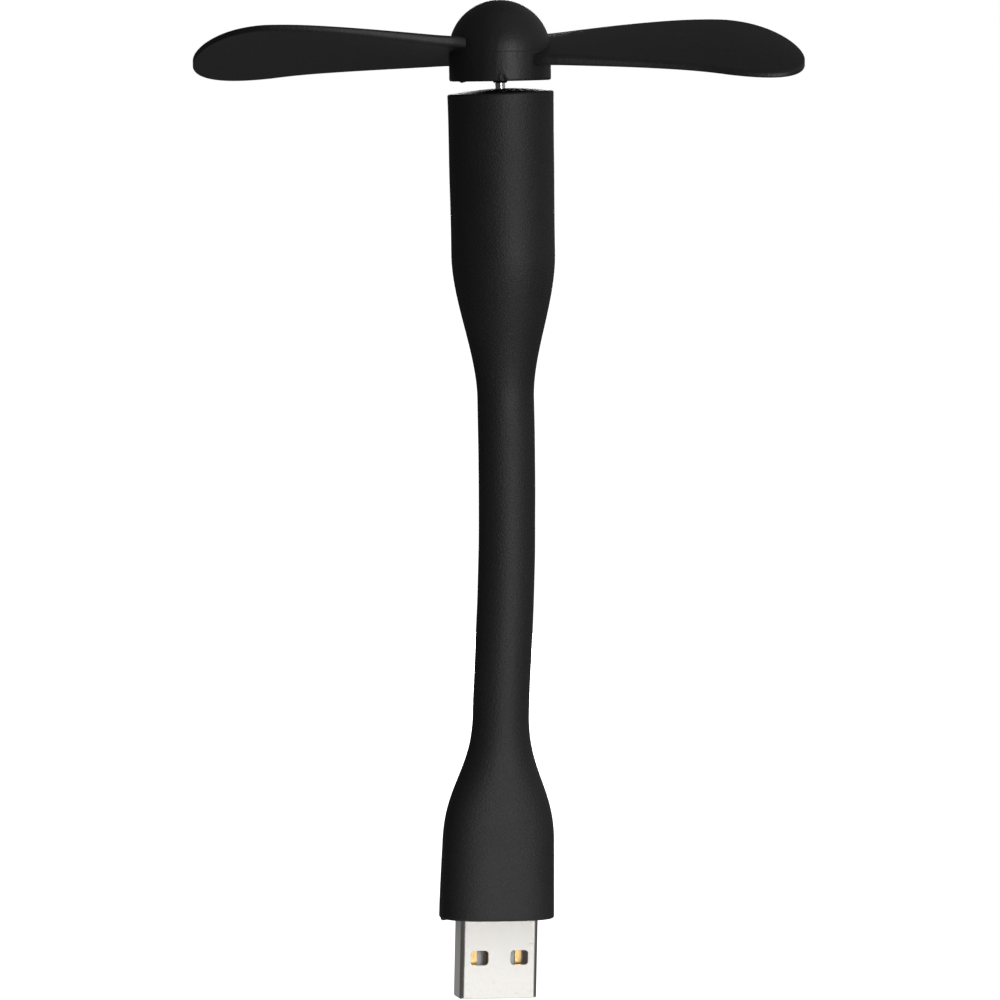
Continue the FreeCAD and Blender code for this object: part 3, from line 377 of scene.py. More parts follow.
def drawn_lines():
    """Fine lines along one axis, from drawing, grinding or flow in a mould, with slow clouds over them."""
    effect = Effect(
        "drawn_lines",
        [
            ("Line Size", "Float", 0.0001),
            ("Stretch", "Vector", (1.0, 1.0, 0.05)),
            ("Cloud Size", "Float", 0.004),
        ],
        [("Lines", "Float"), ("Clouds", "Float")],
    )
    place = effect.node("ShaderNodeTexCoord").outputs["Object"]
    stretched = effect.node("ShaderNodeMapping", Vector=place, Scale=effect.given["Stretch"]).outputs[0]
    fine = effect.math("DIVIDE", 1.0, effect.given["Line Size"])
    broad = effect.math("DIVIDE", 1.0, effect.given["Cloud Size"])
    lines = effect.node("ShaderNodeTexNoise", Vector=stretched, Scale=fine, Detail=2.0)
    clouds = effect.node("ShaderNodeTexNoise", Vector=place, Scale=broad, Detail=3.0)
    effect.put(effect.results, Lines=lines.outputs["Fac"], Clouds=clouds.outputs["Fac"])
    return effect.tree


GRAIN = moulded_grain()
LINES = drawn_lines()


def moulded(name, dark, light, rough, size=0.3, depth=0.012, cloud=8.0, fleck=0.5, **sockets):
    """A moulded plastic or a cast surface: two tones, a rough range, and grain of a size and depth in mm."""
    finish = Finish(name, **sockets)
    grain = finish.group(GRAIN, Grain_Size=size * MM, Cloud_Size=cloud * MM).outputs
    tone = finish.mix(grain["Clouds"], (*dark, 1), (*light, 1))
    lit = finish.between(grain["Flecks"], 0.0, fleck)
    bright = [min(1.0, 2.2 * value) for value in light]
    finish.put(
        finish.shader,
        Base_Color=finish.mix(lit, tone, (*bright, 1)),
        Roughness=finish.between(grain["Clouds"], *rough),
        Normal=finish.bump(grain["Grain"], depth * MM),
    )
    return finish.material


def worked_metal(name, dark, light, rough, size=0.1, depth=0.002, stretch=(1, 1, 0.05), cloud=4.0):
    """A drawn, ground or plated metal: lines of a size and depth in mm under clouds of tarnish."""
    finish = Finish(name, Metallic=1.0)
    lines = finish.group(LINES, Line_Size=size * MM, Stretch=stretch, Cloud_Size=cloud * MM).outputs
    finish.put(
        finish.shader,
        Base_Color=finish.mix(lines["Clouds"], (*dark, 1), (*light, 1)),
        Roughness=finish.between(lines["Lines"], *rough),
        Normal=finish.bump(lines["Lines"], depth * MM),
    )
    return finish.material


def soft_moulding():
    """The base, neck and head: soft black, with a fine sparkling grain."""
    return moulded(
        "soft_moulding", (0.010, 0.010, 0.0105), (0.016, 0.016, 0.0165), (0.50, 0.60),
        size=0.24, depth=0.05, cloud=6.0, fleck=0.9, Specular_IOR_Level=0.5,
    )


def blade_moulding():
    """The propeller: the same soft black off a smoother mould, with faint flow lines up from the rim."""
    finish = Finish("blade_moulding", Specular_IOR_Level=0.5)
    grain = finish.group(GRAIN, Grain_Size=0.22 * MM, Cloud_Size=9 * MM).outputs
    flow = finish.group(LINES, Line_Size=1.1 * MM, Stretch=(1.0, 1.0, 0.16), Cloud_Size=5 * MM).outputs
    flat = finish.bump(flow["Lines"], 0.05 * MM)
    finish.put(
        finish.shader,
        Base_Color=finish.mix(grain["Clouds"], (0.008, 0.008, 0.0085, 1), (0.014, 0.014, 0.0145, 1)),
        Roughness=finish.between(grain["Clouds"], 0.43, 0.53),
        Normal=finish.bump(grain["Grain"], 0.030 * MM, flat),
    )
    return finish.material


def nickel_plate():
    """Bright nickel on folded steel: duller flecks, faint lines along the folds, and brown rub marks."""
    finish = Finish("nickel_plate", Metallic=1.0)
    lines = finish.group(LINES, Line_Size=0.14 * MM, Stretch=(1.0, 1.0, 0.04), Cloud_Size=1.1 * MM).outputs
    peel = finish.group(GRAIN, Grain_Size=0.3 * MM, Cloud_Size=3 * MM).outputs
    marks = finish.node(
        "ShaderNodeMapRange", Value=lines["Clouds"], From_Min=0.64, From_Max=0.80
    ).outputs[0]
    plate = finish.mix(peel["Flecks"], (0.97, 0.945, 0.905, 1), (0.84, 0.81, 0.76, 1))
    finish.put(
        finish.shader,
        Base_Color=finish.mix(marks, plate, (0.80, 0.74, 0.66, 1)),
        Roughness=finish.between(lines["Lines"], 0.09, 0.19),
        Normal=finish.bump(lines["Lines"], 0.0008 * MM),
    )
    return finish.material


def finishes():
    """Each material slot's finish."""
    return {
        "plug_metal": nickel_plate(),
        "plug_plastic": moulded(
            "plug_insulator", (0.66, 0.69, 0.70), (0.76, 0.79, 0.80), (0.4, 0.5),
            size=0.12, depth=0.004, cloud=1.5, fleck=0.15,
        ),
        "gold_contact": worked_metal(
            "gold_contact", (0.78, 0.50, 0.17), (0.92, 0.66, 0.30), (0.16, 0.28), cloud=0.9,
        ),
        "solder": worked_metal(
            "solder", (0.50, 0.50, 0.52), (0.74, 0.74, 0.75), (0.22, 0.38),
            size=0.2, depth=0.006, stretch=(1, 1, 1),
        ),
        "hard_plastic": moulded(
            "hard_plastic", (0.07, 0.07, 0.072), (0.11, 0.11, 0.112), (0.36, 0.46),
            size=0.2, depth=0.006, fleck=0.2,
        ),
        "cap_plastic": moulded(
            "cap_plastic", (0.011, 0.011, 0.0115), (0.018, 0.018, 0.0185), (0.42, 0.52),
            size=0.2, depth=0.012,
        ),
        "soft_black": soft_moulding(),
        "propeller_black": blade_moulding(),
        "wire_steel": worked_metal(
            "bend_wire_steel", (0.34, 0.34, 0.35), (0.50, 0.50, 0.51), (0.30, 0.46),
        ),
        "lead_red": moulded(
            "red_lead", (0.42, 0.015, 0.01), (0.55, 0.03, 0.02), (0.34, 0.44),
            size=0.15, depth=0.003, fleck=0.1,
        ),
        "lead_black": moulded(
            "black_lead", (0.015, 0.015, 0.016), (0.03, 0.03, 0.031), (0.34, 0.44),
            size=0.15, depth=0.003, fleck=0.1,
        ),
        "can_steel": worked_metal("can_steel", (0.50, 0.50, 0.51), (0.66, 0.66, 0.67), (0.20, 0.34)),
        "magnet": moulded(
            "sintered_magnet", (0.035, 0.035, 0.037), (0.065, 0.065, 0.068), (0.48, 0.62),
            size=0.12, depth=0.006,
        ),
        "bronze": moulded(
            "sintered_bronze", (0.36, 0.22, 0.10), (0.52, 0.34, 0.17), (0.34, 0.48),
            size=0.12, depth=0.006, Metallic=1.0,
        ),
        "terminal_brass": worked_metal(
            "terminal_brass", (0.62, 0.52, 0.30), (0.78, 0.68, 0.44), (0.22, 0.36),
        ),
        "copper": worked_metal("copper", (0.62, 0.28, 0.15), (0.80, 0.42, 0.26), (0.22, 0.36)),
        "core_iron": worked_metal("core_iron", (0.26, 0.26, 0.27), (0.40, 0.40, 0.41), (0.34, 0.48)),
        "shaft_steel": worked_metal(
            "shaft_steel", (0.70, 0.70, 0.72), (0.84, 0.84, 0.85), (0.08, 0.16),
            size=0.05, stretch=(0.1, 0.1, 1),
        ),
    }


FINISHES = finishes()


# ---- the soft moulding: base, neck and head ----

BASE_STRAIGHT = 11.2 * MM
BASE_DRAFT = 0.5 * MM
BASE_SQUARENESS = 0.6  # added to 2, the exponent of a plain oval
HEAD_TAPER_START = 2.8 * MM
HEAD_TAPER = 21.8 * MM
SPINE_STEP = 0.1 * MM
SPINE_PAST_ENDS = (-0.01, 0.06)  # how far the centreline runs on, below the base and up from the last hinge
EASE = 2.0 * MM  # half the length over which the spine's bends at the hinges are eased
SKIN_STEP = 0.4 * MM
RIDGE = 0.035 * MM  # the parting line's height, down both sides
RIDGE_WIDTH = 0.10 * MM
WAVE = 0.05 * MM  # how far the soft wall wanders from its true shape
WAVE_SIZE = 9 * MM
RIM_SKEW = math.tan(math.radians(1.5))  # the head's end is cut a little askew


def skin_angles():
    """Directions round a section, closer together beside the parting line."""
    even = [TURN * i / 96 for i in range(96)]
    beside = [math.radians(side + away) for side in (0, 180) for away in (-2.2, -1.3, -0.6, 0.6, 1.3, 2.2)]
    return sorted(angle % TURN for angle in even + beside)


ANGLES = skin_angles()


def spine_rows():
    """The moulding's centreline: rows of (distance, x, z), with its bends eased."""
    low, high = SPINE_PAST_ENDS
    knots = [Vector((0, 0, low)), *HINGES, HEAD @ Vector((0, 0, high))]
    along = np.cumsum([0.0] + [(b - a).length for a, b in zip(knots, knots[1:])]) + knots[0].z
    distance = np.arange(along[0], along[-1], SPINE_STEP)
    reach = int(EASE / SPINE_STEP)
    window = np.ones(2 * reach + 1) / (2 * reach + 1)
    rows = [distance[reach:-reach]]
    for axis in ("x", "z"):
        values = np.interp(distance, along, [getattr(knot, axis) for knot in knots])
        rows.append(np.convolve(values, window, "valid"))
    return rows


SPINE = spine_rows()


def spine_place(distance):
    """The frame at a distance along the spine, with Z along it."""
    low, high = distance - 2 * SPINE_STEP, distance + 2 * SPINE_STEP
    x, z = (float(np.interp(distance, SPINE[0], row)) for row in SPINE[1:])
    run, rise = (float(np.interp(high, SPINE[0], row) - np.interp(low, SPINE[0], row)) for row in SPINE[1:])
    return Matrix.Translation((x, 0, z)) @ Matrix.Rotation(math.atan2(run, rise), 4, "Y")


def skin_section(distance):
    """Half width, half depth and squareness of the moulding at a distance along the spine."""
    foot = Vector((BASE_HALF.x, BASE_HALF.y))
    if distance < BASE_STRAIGHT:
        drawn = BASE_DRAFT / 2 * max(distance / BASE_STRAIGHT, 0) ** 1.6
        return foot.x - drawn, foot.y - drawn, 2 + BASE_SQUARENESS
    if distance < NECK_START:
        share = (distance - BASE_STRAIGHT) / (NECK_START - BASE_STRAIGHT)
        left = 1 - smooth(share - 0.035 * math.sin(TURN * share))
        width = NECK_HALF.x + (foot.x - BASE_DRAFT / 2 - NECK_HALF.x) * left
        depth = NECK_HALF.y + (foot.y - BASE_DRAFT / 2 - NECK_HALF.y) * left
        return width, depth, 2 + BASE_SQUARENESS * left
    above = distance - HEAD_FOOT - HEAD_TAPER_START
    grown = smooth(above / HEAD_TAPER)
    flared = max(above - HEAD_TAPER, 0) / (RIM - HEAD_TAPER_START - HEAD_TAPER)
    flare = (HEAD_RADIUS - HEAD_WAIST) * flared**2.2
    width = NECK_HALF.x + (HEAD_WAIST - NECK_HALF.x) * grown + flare
    depth = NECK_HALF.y + (HEAD_WAIST - NECK_HALF.y) * grown + flare
    return width, depth, 2.0


def section_ring(distance, half_width, half_depth, squareness, outside=False, inset=0.0, drop=None):
    """One ring of the moulding. The outside carries the parting line and the soft wall's wander."""
    place, ring = spine_place(distance), []
    for angle in ANGLES:
        across, deep = math.cos(angle), math.sin(angle)
        power = abs(across / half_width) ** squareness + abs(deep / half_depth) ** squareness
        reach = power ** (-1 / squareness) - inset
        if outside:
            reach += RIDGE * math.exp(-((deep * half_width / RIDGE_WIDTH) ** 2))
        point = Vector((reach * across, reach * deep, 0))
        if drop:
            point.z -= drop(point, angle)
        point = place @ point
        if outside:
            away = place.to_3x3() @ Vector((across, deep, 0))
            point += away * WAVE * noise.noise(point / WAVE_SIZE)
        ring.append(point)
    return ring


def skin_piece(name, rings):
    """A closed soft wall over rings that run up its outside and back down its bore."""
    vertices = [point for ring in rings for point in ring]
    faces = ring_faces(len(rings), len(ANGLES), closed=True)
    return shade(new_piece(name, vertices, faces, FINISHES["soft_black"]))


def outside_rings(start, end):
    """The outer wall's rings between two distances along the spine, going up."""
    count = max(2, round((end - start) / SKIN_STEP))
    places = [start + (end - start) * i / count for i in range(count + 1)]
    return [section_ring(place, *skin_section(place), outside=True) for place in places]


def bore_rings(start, end, half_width, half_depth, squareness=2.5):
    """The bore's rings, from its upper end down."""
    count = max(1, round((end - start) / (4 * SKIN_STEP)))
    places = [end + (start - end) * i / count for i in range(count + 1)]
    return [section_ring(place, half_width, half_depth, squareness) for place in places]


WIRE_BORE = (2.75 * MM, 1.05 * MM)
LEAD_CHANNEL = (4.45 * MM, 1.3 * MM)
BOX_SQUARENESS = 12.0
BASE_EDGE = 0.35 * MM  # the rounding of the base's rim
SLOT_GAP = 0.03 * MM
EDGE_RINGS = 5  # rings round a rim's quarter turn
FLASH_RINGS = 3  # the lowest of those, which carry the flash
# each scrap of flash: its angle, its drop in mm, and its spread as an angle
SCRAPS = ((0.03, 0.42, 0.018), (0.09, 0.14, 0.03), (math.pi + 0.03, 0.30, 0.05))


def angle_from(angle, middle):
    """The angle's distance from another, from minus to plus half a turn."""
    return (angle - middle + math.pi) % TURN - math.pi


def shoulder_flash(point, angle):
    """Scraps of flash that hang from the base's rim where the mould's halves meet."""
    tall = 0.0
    for middle, height, width in SCRAPS:
        tall += height * MM * math.exp(-((angle_from(angle, middle) / width) ** 2))
    return tall


def base_skin():
    """The base's wall, over the hard mould inside and a slot for the plug."""
    rings = []
    for i in range(EDGE_RINGS):
        lift = math.radians(90 * i / (EDGE_RINGS - 1))
        height, inset = BASE_EDGE * (1 - math.cos(lift)), BASE_EDGE * (1 - math.sin(lift))
        scrap = shoulder_flash if i < FLASH_RINGS else None
        rings.append(section_ring(height, *skin_section(height), outside=True, inset=inset, drop=scrap))
    rings += outside_rings(2 * BASE_EDGE, NECK_START)
    channel_foot = (MOULD_HIGH.z + NECK_START) / 2
    rings += bore_rings(channel_foot, NECK_START, *WIRE_BORE)
    rings += bore_rings(MOULD_HIGH.z, channel_foot, *LEAD_CHANNEL)
    rings += bore_rings(MOULD_LOW.z, MOULD_HIGH.z, MOULD_HIGH.x, MOULD_HIGH.y, BOX_SQUARENESS)
    slot = (SHELL_HALF.x + SLOT_GAP, SHELL_HALF.y + SLOT_GAP)
    rings += bore_rings(0.0, MOULD_LOW.z, *slot, BOX_SQUARENESS)
    piece = skin_piece("base_skin", rings)
    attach(piece, "base")
    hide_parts("base_housing")


def neck_skins():
    """One closed length of neck round each hinge, reaching half a link's length to either side. Each is left
    in the world's frame, held by neither body.
    """
    for index, (lower, upper) in enumerate(zip(BODIES, BODIES[1:])):
        start, end = NECK_START + STEP * index, NECK_START + STEP * (index + 1)
        rings = outside_rings(start, end) + bore_rings(start, end, *WIRE_BORE)
        piece = skin_piece(f"neck_skin_{index + 1:02d}", rings)
        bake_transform(piece)
        if index:
            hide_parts(f"neck_link_{index:02d}")


CAP_RADIUS = 7.55 * MM
CAP_FOOT = span_in(HEAD, "head_cap")[0]
CAP_CROWN = span_in(HEAD, "head_cap")[1] - RIM
CAP_HOLE = 2.15 * MM
CAP_EDGE = 0.12 * MM
HEAD_EDGE = 0.3 * MM  # the rounding of the head's rim
CAP_GAP = 0.03 * MM  # all round the cap in its seat
SLEEVE_GAP = 0.02 * MM


def head_skin():
    """The head's wall, over the cap's seat, the motor sleeve's room and the leads' channel."""
    top = HEAD_FOOT + RIM
    rings = outside_rings(NECK_END, top - 2 * HEAD_EDGE)
    width, depth, squareness = skin_section(top)

    def askew(point, angle):
        return -RIM_SKEW * point.x

    for i in range(EDGE_RINGS):
        lift = math.radians(90 * i / (EDGE_RINGS - 1))
        height, inset = top - HEAD_EDGE * (1 - math.sin(lift)), HEAD_EDGE * (1 - math.cos(lift))
        rings.append(section_ring(height, width, depth, squareness, outside=True, inset=inset, drop=askew))
    seat = CAP_RADIUS + CAP_GAP
    rings.append(section_ring(top, seat, seat, 2.0, inset=-0.1 * MM, drop=askew))
    rings.append(section_ring(top - 0.1 * MM, seat, seat, 2.0, drop=askew))
    rings += bore_rings(HEAD_FOOT + CAP_FOOT, top - 0.6 * MM, seat, seat, 2.0)
    room = SLEEVE_RADIUS + SLEEVE_GAP
    sleeve_foot = HEAD_FOOT + SLEEVE_FOOT
    rings += bore_rings(sleeve_foot, HEAD_FOOT + CAP_FOOT, room, room, 2.0)
    channel_foot = HEAD_FOOT + SLEEVE_FOOT * 0.4
    rings += bore_rings(channel_foot, sleeve_foot, *LEAD_CHANNEL)
    rings += bore_rings(NECK_END, channel_foot, *WIRE_BORE)
    piece = skin_piece("head_skin", rings)
    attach(piece, "head")
    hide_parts("head_housing")


def head_cap():
    """The shallow dome in the head's end, with a hole for the motor's front bush."""
    start, end = CAP_HOLE + 0.1 * MM, CAP_RADIUS - CAP_EDGE
    dome = [start + (end - start) * i / 14 for i in range(15)]
    profile = [(CAP_HOLE, CAP_FOOT), (CAP_HOLE, RIM + CAP_CROWN - 0.15 * MM)]
    profile += [(radius, RIM + CAP_CROWN * (1 - (radius / CAP_RADIUS) ** 2)) for radius in dome]
    profile += arc((CAP_RADIUS - CAP_EDGE, RIM - CAP_EDGE + 0.02 * MM), CAP_EDGE, 70, 0, 3)
    profile.append((CAP_RADIUS, CAP_FOOT))

    def askew(point, angle):
        return point + Vector((0, 0, RIM_SKEW * point.x)) if point.z > RIM - 0.5 * MM else point

    piece = turned_piece("head_dome", profile, FINISHES["cap_plastic"], HEAD, dents=askew)
    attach(piece, "head")
    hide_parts("head_cap")


# ---- the plug's shell ----

SHELL_WALL = 0.3 * MM
SHELL_CORNER = 0.6 * MM
WINDOW_HALF = (1.35 * MM, 1.1 * MM)
WINDOW_PITCH = 6.2 * MM
WINDOW_SETBACK = 5.16 * MM
SEAM_GAP = 0.05 * MM
SEAM_LOCKS = (0.3, 0.72)  # where the dovetails stand, as shares of the seam
LOCK_LINE = ((0, -0.7), (0.9, -1.0), (0.9, 1.0), (0, 0.7))  # one dovetail in mm
WINDOW_CORNER = 0.5 * MM
SHELL_BREAK = 0.035 * MM  # the width of the bevel on its edges
FLAT_FACE = 1.5 * MM * MM  # faces at least this large are shaded flat


def seam_outline(low, high):
    """The folded shell's seam: a thin gap with two dovetail locks, as an outline of (x, z)."""
    middles = [low + (high - low) * share for share in SEAM_LOCKS]
    line = [(0.0, low)]
    for middle in middles:
        for across, up in LOCK_LINE:
            line.append((across * MM, middle + up * MM))
    line.append((0.0, high))
    line = [Vector(point) for point in line]
    runs = [(b - a).normalized() for a, b in zip(line, line[1:])]
    sides = []
    for point, before, after in zip(line, [runs[0]] + runs, runs + [runs[-1]]):
        across = (before + after).normalized().orthogonal()
        across /= abs(across.dot(before.orthogonal()))
        sides.append((point + across * SEAM_GAP / 2, point - across * SEAM_GAP / 2))
    return [tuple(left) for left, right in sides] + [tuple(right) for left, right in reversed(sides)]


def plug_shell():
    """Folded steel: round corners, a drawn-in tip, two windows a side, and a dovetailed seam behind."""
    finish = FINISHES["plug_metal"]
    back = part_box("plug_shell")[1].z
    levels = [(PLUG_TIP, 0.14), (PLUG_TIP + 0.05 * MM, 0.06), (PLUG_TIP + 0.2 * MM, 0.0), (back, 0.0)]
    vertices = []
    for height, inset in levels:
        half = (SHELL_HALF.x - inset * MM, SHELL_HALF.y - inset * MM)
        vertices += [Vector((x, y, height)) for x, y in rounded_box(*half, SHELL_CORNER, 8)]
    around = len(vertices) // len(levels)
    faces = ring_faces(len(levels), around, closed=False)
    faces += [tuple(range(around)), tuple(range(3 * around, 4 * around))]
    piece = shade(new_piece("plug_shell_folded", vertices, faces, finish))
    inside = rounded_box(
        SHELL_HALF.x - SHELL_WALL, SHELL_HALF.y - SHELL_WALL, SHELL_CORNER - SHELL_WALL, 6
    )
    boolean(piece, prism("mouth", inside, PLUG_TIP - MM, back + MM, finish), "DIFFERENCE")
    middle = PLUG_TIP + WINDOW_SETBACK + WINDOW_HALF[1]
    for side in (-0.5, 0.5):
        window = rounded_box(*WINDOW_HALF, WINDOW_CORNER, 6, (side * WINDOW_PITCH, middle))
        boolean(piece, prism("window", window, -5 * MM, 5 * MM, finish, "Y"), "DIFFERENCE")
    seam = prism("seam", seam_outline(PLUG_TIP - MM, back + MM), MM, 4 * MM, finish, "Y")
    boolean(piece, seam, "DIFFERENCE")
    bevel(piece, SHELL_BREAK, 2)
    shade(piece, 30, flat_from=FLAT_FACE)
    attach(piece, "base")
    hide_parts("plug_shell")


# ---- the propeller ----

BLADE_REACH = (45.5 * MM, 46.3 * MM)  # the two blades trimmed a little unequally
BLADE_FLEX = (-0.55 * MM, 0.45 * MM)  # how far each soft blade's tip has drooped or lifted
BLADE_CHORD = 20.4 * MM
BLADE_ROOT = 0.108  # where a blade starts inside the hub, as a share of its reach
TIP_START = 0.75  # where its end starts to round off
ROOT_HALF = 0.285  # half the chord at the root, as a share of the full chord
ROOT_GROWTH = 0.22  # how much that grows by the tip's start
SWEEP = 0.08  # how far the chord's middle moves to one side near the root
SWEEP_BACK_START = 0.53  # where it starts to come back
SWEEP_BACK = 1.9
PITCH_START = 0.197  # where the pitch and thickness start to change
ROOT_PITCH, TIP_PITCH_GAIN = 13.5, 6.9  # degrees
ROOT_THICK, TIP_THICK_LOSS = 1.6, 0.7  # mm
FLEX_START = 0.2  # the part of the reach nearer than this stays stiff
BLADE_MIDDLE = 4.45 * MM
HUB_RADIUS = 7.65 * MM
HUB_STRAIGHT = 4.45 * MM
HUB_WALL = 1.3 * MM
SOCKET_TOP = 7.5 * MM
BOSS_FOOT = ((0.85, -0.35), (0.98, -0.28), (1.15, 0.0), (1.5, 0.4), (1.95, 0.8), (2.1, 1.3))
SHAFT_RADIUS = 0.75 * MM


def blade_plan(share):
    """Half the chord and the chord's middle, as shares of the full chord, at a share of the reach."""
    grown = min((share - BLADE_ROOT) / (TIP_START - BLADE_ROOT), 1.0)
    half = ROOT_HALF + ROOT_GROWTH * grown**0.62
    if share > TIP_START:
        half *= math.sqrt(1 - ((share - TIP_START) / (1 - TIP_START)) ** 2.2)
    outward = min((share - BLADE_ROOT) / (SWEEP_BACK_START - BLADE_ROOT), 1.0)
    swept = SWEEP * math.sin(math.pi / 2 * outward)
    swept -= SWEEP_BACK * max(share - SWEEP_BACK_START, 0) ** 2.4
    return half, swept


def blade_section(share, reach, flex):
    """One closed loop across the blade: cambered and pitched, with softened square edges."""
    half, swept = blade_plan(share)
    run = max(share - PITCH_START, 0) / (1 - PITCH_START)
    ease = 1 - (1 - run) ** 2
    pitch = math.radians(ROOT_PITCH + TIP_PITCH_GAIN * ease)
    thick = (ROOT_THICK - TIP_THICK_LOSS * ease) * MM
    half_chord = half * BLADE_CHORD
    soft = min(0.32 * thick, half_chord * 0.6)
    rise = half * MM
    across = [math.sin(math.pi / 2 * (i / 6 - 1)) for i in range(13)]
    top = [(x * (half_chord - soft), thick / 2) for x in across]
    turns = [math.radians(degrees) for degrees in (22.5, 45, 67.5, 90)]
    edge, level = half_chord - soft, thick / 2 - soft
    nose = [(edge + soft * math.sin(a), level + soft * math.cos(a)) for a in turns]
    loop = top + nose
    loop += [(x, -z) for x, z in reversed(loop)]
    nose_back = [(-x, z) for x, z in reversed(nose)]
    loop += [(x, -z) for x, z in reversed(nose_back)] + nose_back
    flexed = flex * (max(share - FLEX_START, 0) / (1 - FLEX_START)) ** 2
    points = []
    for x, z in loop:
        y = x + swept * BLADE_CHORD
        camber = rise * (1 - (x / half_chord) ** 2)
        height = BLADE_MIDDLE + y * math.tan(pitch) + camber + z + flexed
        points.append(Vector((share * reach, y, height)))
    return points


def blade(name, turn, reach, flex):
    """A closed blade along X, turned about the shaft. It starts inside the hub."""
    shares = [BLADE_ROOT + (TIP_START - BLADE_ROOT) * i / 26 for i in range(26)]
    shares += [TIP_START + (1 - TIP_START) * math.sin(math.radians(88.5 * i / 26)) for i in range(27)]
    loops = [blade_section(share, reach, flex) for share in shares]
    around = len(loops[0])
    faces = ring_faces(len(loops), around, closed=False)
    faces += [tuple(range(around)), tuple(range((len(loops) - 1) * around, len(loops) * around))]
    vertices = [point for loop in loops for point in loop]
    place = Matrix.Rotation(turn, 4, "Z")
    return shade(new_piece(name, vertices, faces, FINISHES["propeller_black"], place))


GATE_ANGLE, SCRAP_ANGLE = math.radians(-86.3), math.radians(-141.3)
GATE_UP = 0.45  # the nick's height over the rim, in mm, as are the sizes on the next two lines
NICK_DEPTH, NICK_WIDTH = 0.22, 0.26
LIP_HEIGHT, LIP_RADIUS, LIP_WIDTH = 0.14, 0.5, 0.13
SCRAP_DROP, SCRAP_WIDTH = 0.2 * MM, 0.3 * MM
RIM_BAND = 0.2 * MM  # the scrap hangs only from points this near the rim's level


def hub_marks(point, angle):
    """The gate's nick at the front of the rim, with a raised lip, and a scrap of flash farther round."""
    radius = math.hypot(point.x, point.y)
    if radius > HUB_RADIUS - HUB_WALL + 0.1 * MM and point.z < 2.5 * MM:
        across, up = angle_from(angle, GATE_ANGLE) * HUB_RADIUS / MM, point.z / MM - GATE_UP
        dent = NICK_DEPTH * math.exp(-((across / NICK_WIDTH) ** 2) - (up / NICK_WIDTH) ** 2)
        lip = LIP_HEIGHT * math.exp(-(((math.hypot(across, up) - LIP_RADIUS) / LIP_WIDTH) ** 2))
        scale = 1 - (dent - lip) * MM / radius
        point = Vector((point.x * scale, point.y * scale, point.z))
        if point.z < RIM_BAND:
            away = angle_from(angle, SCRAP_ANGLE) * HUB_RADIUS
            point.z -= SCRAP_DROP * math.exp(-((away / SCRAP_WIDTH) ** 2))
    return point


def propeller():
    """A domed hub, hollow under, with a boss on the shaft and two blades moulded on."""
    edge, line = 0.3 * MM, 0.012 * MM
    inner = HUB_RADIUS - HUB_WALL
    boss = 2.1 * MM
    roof = math.degrees(math.acos(boss / inner))
    profile = [(0, SOCKET_TOP), (SHAFT_RADIUS, SOCKET_TOP), (SHAFT_RADIUS, -BOSS_DROP)]
    profile += [(radius * MM, height * MM) for radius, height in BOSS_FOOT]
    profile.append((boss, HUB_STRAIGHT))
    profile += arc((0, HUB_STRAIGHT), inner, roof, 0, 12)
    profile += [(inner, HUB_STRAIGHT / 2), (inner, 0.0)]
    profile += arc((HUB_RADIUS - edge, edge), edge, -90, 0, 4)
    profile += [(HUB_RADIUS, edge + (HUB_STRAIGHT - 2 * line - edge) * i / 14) for i in range(1, 15)]
    profile += [(HUB_RADIUS - line, HUB_STRAIGHT)]
    dome = arc((0, HUB_STRAIGHT), HUB_RADIUS, 0.6, 90, 36)
    profile += dome[:-1] + [(0, HUB_STRAIGHT + HUB_RADIUS)]
    finish = FINISHES["propeller_black"]
    piece = turned_piece("propeller_moulded", profile, finish, None, around=240, dents=hub_marks)
    boolean(piece, blade("blade_right", 0.0, BLADE_REACH[0], BLADE_FLEX[0]), "UNION")
    boolean(piece, blade("blade_left", math.pi, BLADE_REACH[1], BLADE_FLEX[1]), "UNION")
    piece.data.transform(PROPELLER)
    shade(piece, 32)
    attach(piece, "rotor")
    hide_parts("propeller")


# ---- wires ----

LEAD_OUTER = 3.5 * MM
LEAD_INNER = 1.9 * MM
LEAD_SPREAD = 3.4 * MM
WIRE_POINT_STEP = 0.6 * MM
WIRE_SIDES = 20
WIRE_RADIUS, LEAD_RADIUS = 0.8 * MM, 0.55 * MM


